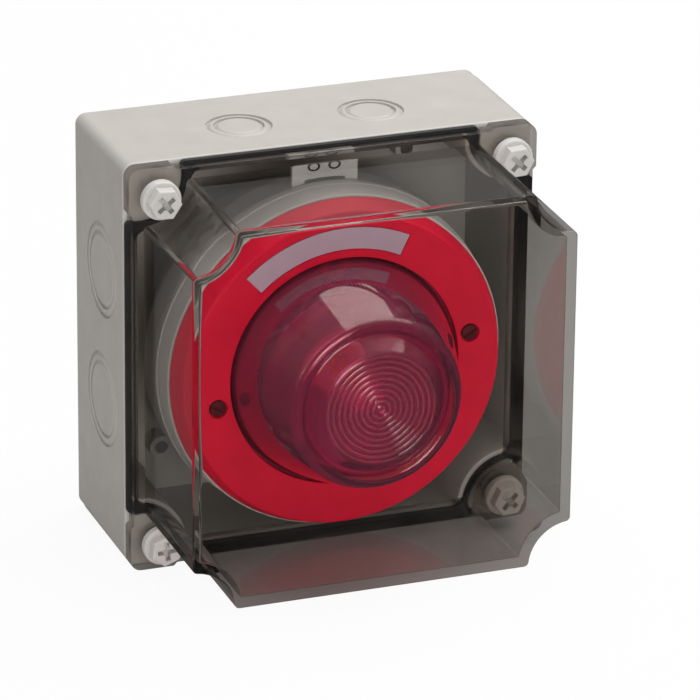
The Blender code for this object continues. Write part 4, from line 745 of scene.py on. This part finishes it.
# ---------------------------------------------------------------- studio
SOFT_LIGHT = 0.36              # world strength for diffuse light
GLOSS_LOW = 0.12               # world strength in reflections, at the horizon
GLOSS_HIGH = 0.50              # and well above it
THROUGH = 0.5                  # world strength seen through clear plastic
FLOOR_COLOUR = (0.78, 0.78, 0.78)
FLOOR_REACH = 6.0
FLOOR_SEEN = 0.93              # share of white in the floor as the camera sees it, the rest shows the shadow
FLOOR_THROUGH = 0.55           # share of even tone in the floor seen through clear plastic
FLOOR_DIM = 0.2                # strength of that tone
FLOOR_MIRRORED = 0.10          # strength of the floor in reflections


def studio_looks(mat):
    """Light Path as three sockets: seen by the camera, seen through clear plastic, seen in a reflection."""
    path = node(mat, "ShaderNodeLightPath")
    direct = calc(mat, "LESS_THAN", path.outputs["Glossy Depth"], 0.5)
    through = calc(mat, "MULTIPLY", path.outputs["Is Transmission Ray"], direct)
    clear = calc(mat, "MAXIMUM", path.outputs["Is Glossy Ray"], path.outputs["Is Transmission Ray"])
    return path.outputs["Is Camera Ray"], through, calc(mat, "SUBTRACT", clear, direct, clamp=True)


def mixed_shader(mat, factor, one, two):
    made = node(mat, "ShaderNodeMixShader")
    link(mat, factor, made.inputs["Fac"])
    link(mat, one.outputs[0], made.inputs[1])
    link(mat, two.outputs[0], made.inputs[2])
    return made


def make_floor():
    """Diffuse floor that keeps the shadow. It shows mostly white in view and a soft tone in reflections."""
    bm = bmesh.new()
    low = CAD_BOX[0][2] - 0.0002
    square = ((-FLOOR_REACH, -FLOOR_REACH), (FLOOR_REACH, -FLOOR_REACH), (FLOOR_REACH, FLOOR_REACH),
              (-FLOOR_REACH, FLOOR_REACH))
    bm.faces.new([bm.verts.new((x, y, low)) for x, y in square])
    mesh = bpy.data.meshes.new("floor")
    bm.to_mesh(mesh)
    bm.free()
    floor = bpy.data.objects.new("floor", mesh)
    scene.collection.objects.link(floor)
    mat = bpy.data.materials.new("pale_floor")
    mat.use_nodes = True
    mat.node_tree.nodes.clear()
    seen, through, mirrored = studio_looks(mat)
    diffuse = node(mat, "ShaderNodeBsdfDiffuse")
    diffuse.inputs["Color"].default_value = (*FLOOR_COLOUR, 1)
    glow = node(mat, "ShaderNodeEmission")
    link(mat, ranged(mat, seen, FLOOR_DIM, 1.0, 0.0, 1.0), glow.inputs["Strength"])
    share = calc(mat, "MAXIMUM", calc(mat, "MULTIPLY", seen, FLOOR_SEEN),
                 calc(mat, "MULTIPLY", through, FLOOR_THROUGH))
    sheen = node(mat, "ShaderNodeEmission")
    sheen.inputs["Strength"].default_value = FLOOR_MIRRORED
    both = mixed_shader(mat, mirrored, mixed_shader(mat, share, diffuse, glow), sheen)
    link(mat, both.outputs[0], node(mat, "ShaderNodeOutputMaterial").inputs["Surface"])
    mat.cycles.emission_sampling = "NONE"
    mesh.materials.append(mat)


def make_world():
    """Soft light all round, white where it is seen, and stronger in reflections the higher they point."""
    world = bpy.data.worlds.new("studio")
    scene.world = world
    world.use_nodes = True
    world.node_tree.nodes.clear()
    seen, through, mirrored = studio_looks(world)
    split = node(world, "ShaderNodeSeparateXYZ")
    link(world, node(world, "ShaderNodeTexCoord").outputs["Generated"], split.inputs[0])
    soft = node(world, "ShaderNodeMix", data_type="FLOAT")
    soft.inputs[2].default_value = SOFT_LIGHT
    link(world, mirrored, soft.inputs[0])
    link(world, ranged(world, split.outputs["Z"], GLOSS_LOW, GLOSS_HIGH, 0.0, 0.5), soft.inputs[3])
    bright = calc(world, "MAXIMUM", seen, calc(world, "MULTIPLY", through, THROUGH))
    back = node(world, "ShaderNodeBackground")
    link(world, calc(world, "MAXIMUM", soft.outputs[0], bright), back.inputs["Strength"])
    link(world, back.outputs["Background"], node(world, "ShaderNodeOutputWorld").inputs["Surface"])


def area_lamp(name, place, target, size, size_y, power):
    lamp = bpy.data.lights.new(name, "AREA")
    lamp.shape = "RECTANGLE"
    lamp.size = size
    lamp.size_y = size_y
    lamp.energy = power
    obj = bpy.data.objects.new(name, lamp)
    scene.collection.objects.link(obj)
    obj.location = place
    obj.rotation_euler = (Vector(target) - Vector(place)).to_track_quat("-Z", "Y").to_euler()
    return obj


make_floor()
make_world()
area_lamp("soft_above", (0.50, 0.14, 1.0), (0.50, 0.14, 0), 1.45, 1.05, 16.5)
area_lamp("strip_left", (-1.1, -0.22, 0.34), (0, -0.05, 0.0), 0.14, 0.56, 1.8)
area_lamp("fill_front", (-0.15, -1.7, 0.22), (0, -0.04, 0), 0.7, 0.5, 9.5).visible_glossy = False

# ---------------------------------------------------------------- camera
CAMERA_AT = (-0.5290, -1.4891, 0.6293)
RIGHT = Vector((0.93856, -0.34498, 0.009995))
UP = Vector((0.12269, 0.36058, 0.92462))
FORWARD = Vector((0.32258, 0.86659, -0.38075))
LENS = 280.45                  # focal length in millimetres on a 36 mm sensor
camera_data = bpy.data.cameras.new("camera")
camera_data.sensor_width = 36.0
camera_data.lens = LENS
camera = bpy.data.objects.new("camera", camera_data)
scene.collection.objects.link(camera)
turn = Matrix((RIGHT, UP, -FORWARD)).transposed().to_4x4()
camera.matrix_world = Matrix.Translation(CAMERA_AT) @ turn
scene.camera = camera

scene.view_settings.view_transform = "Standard"
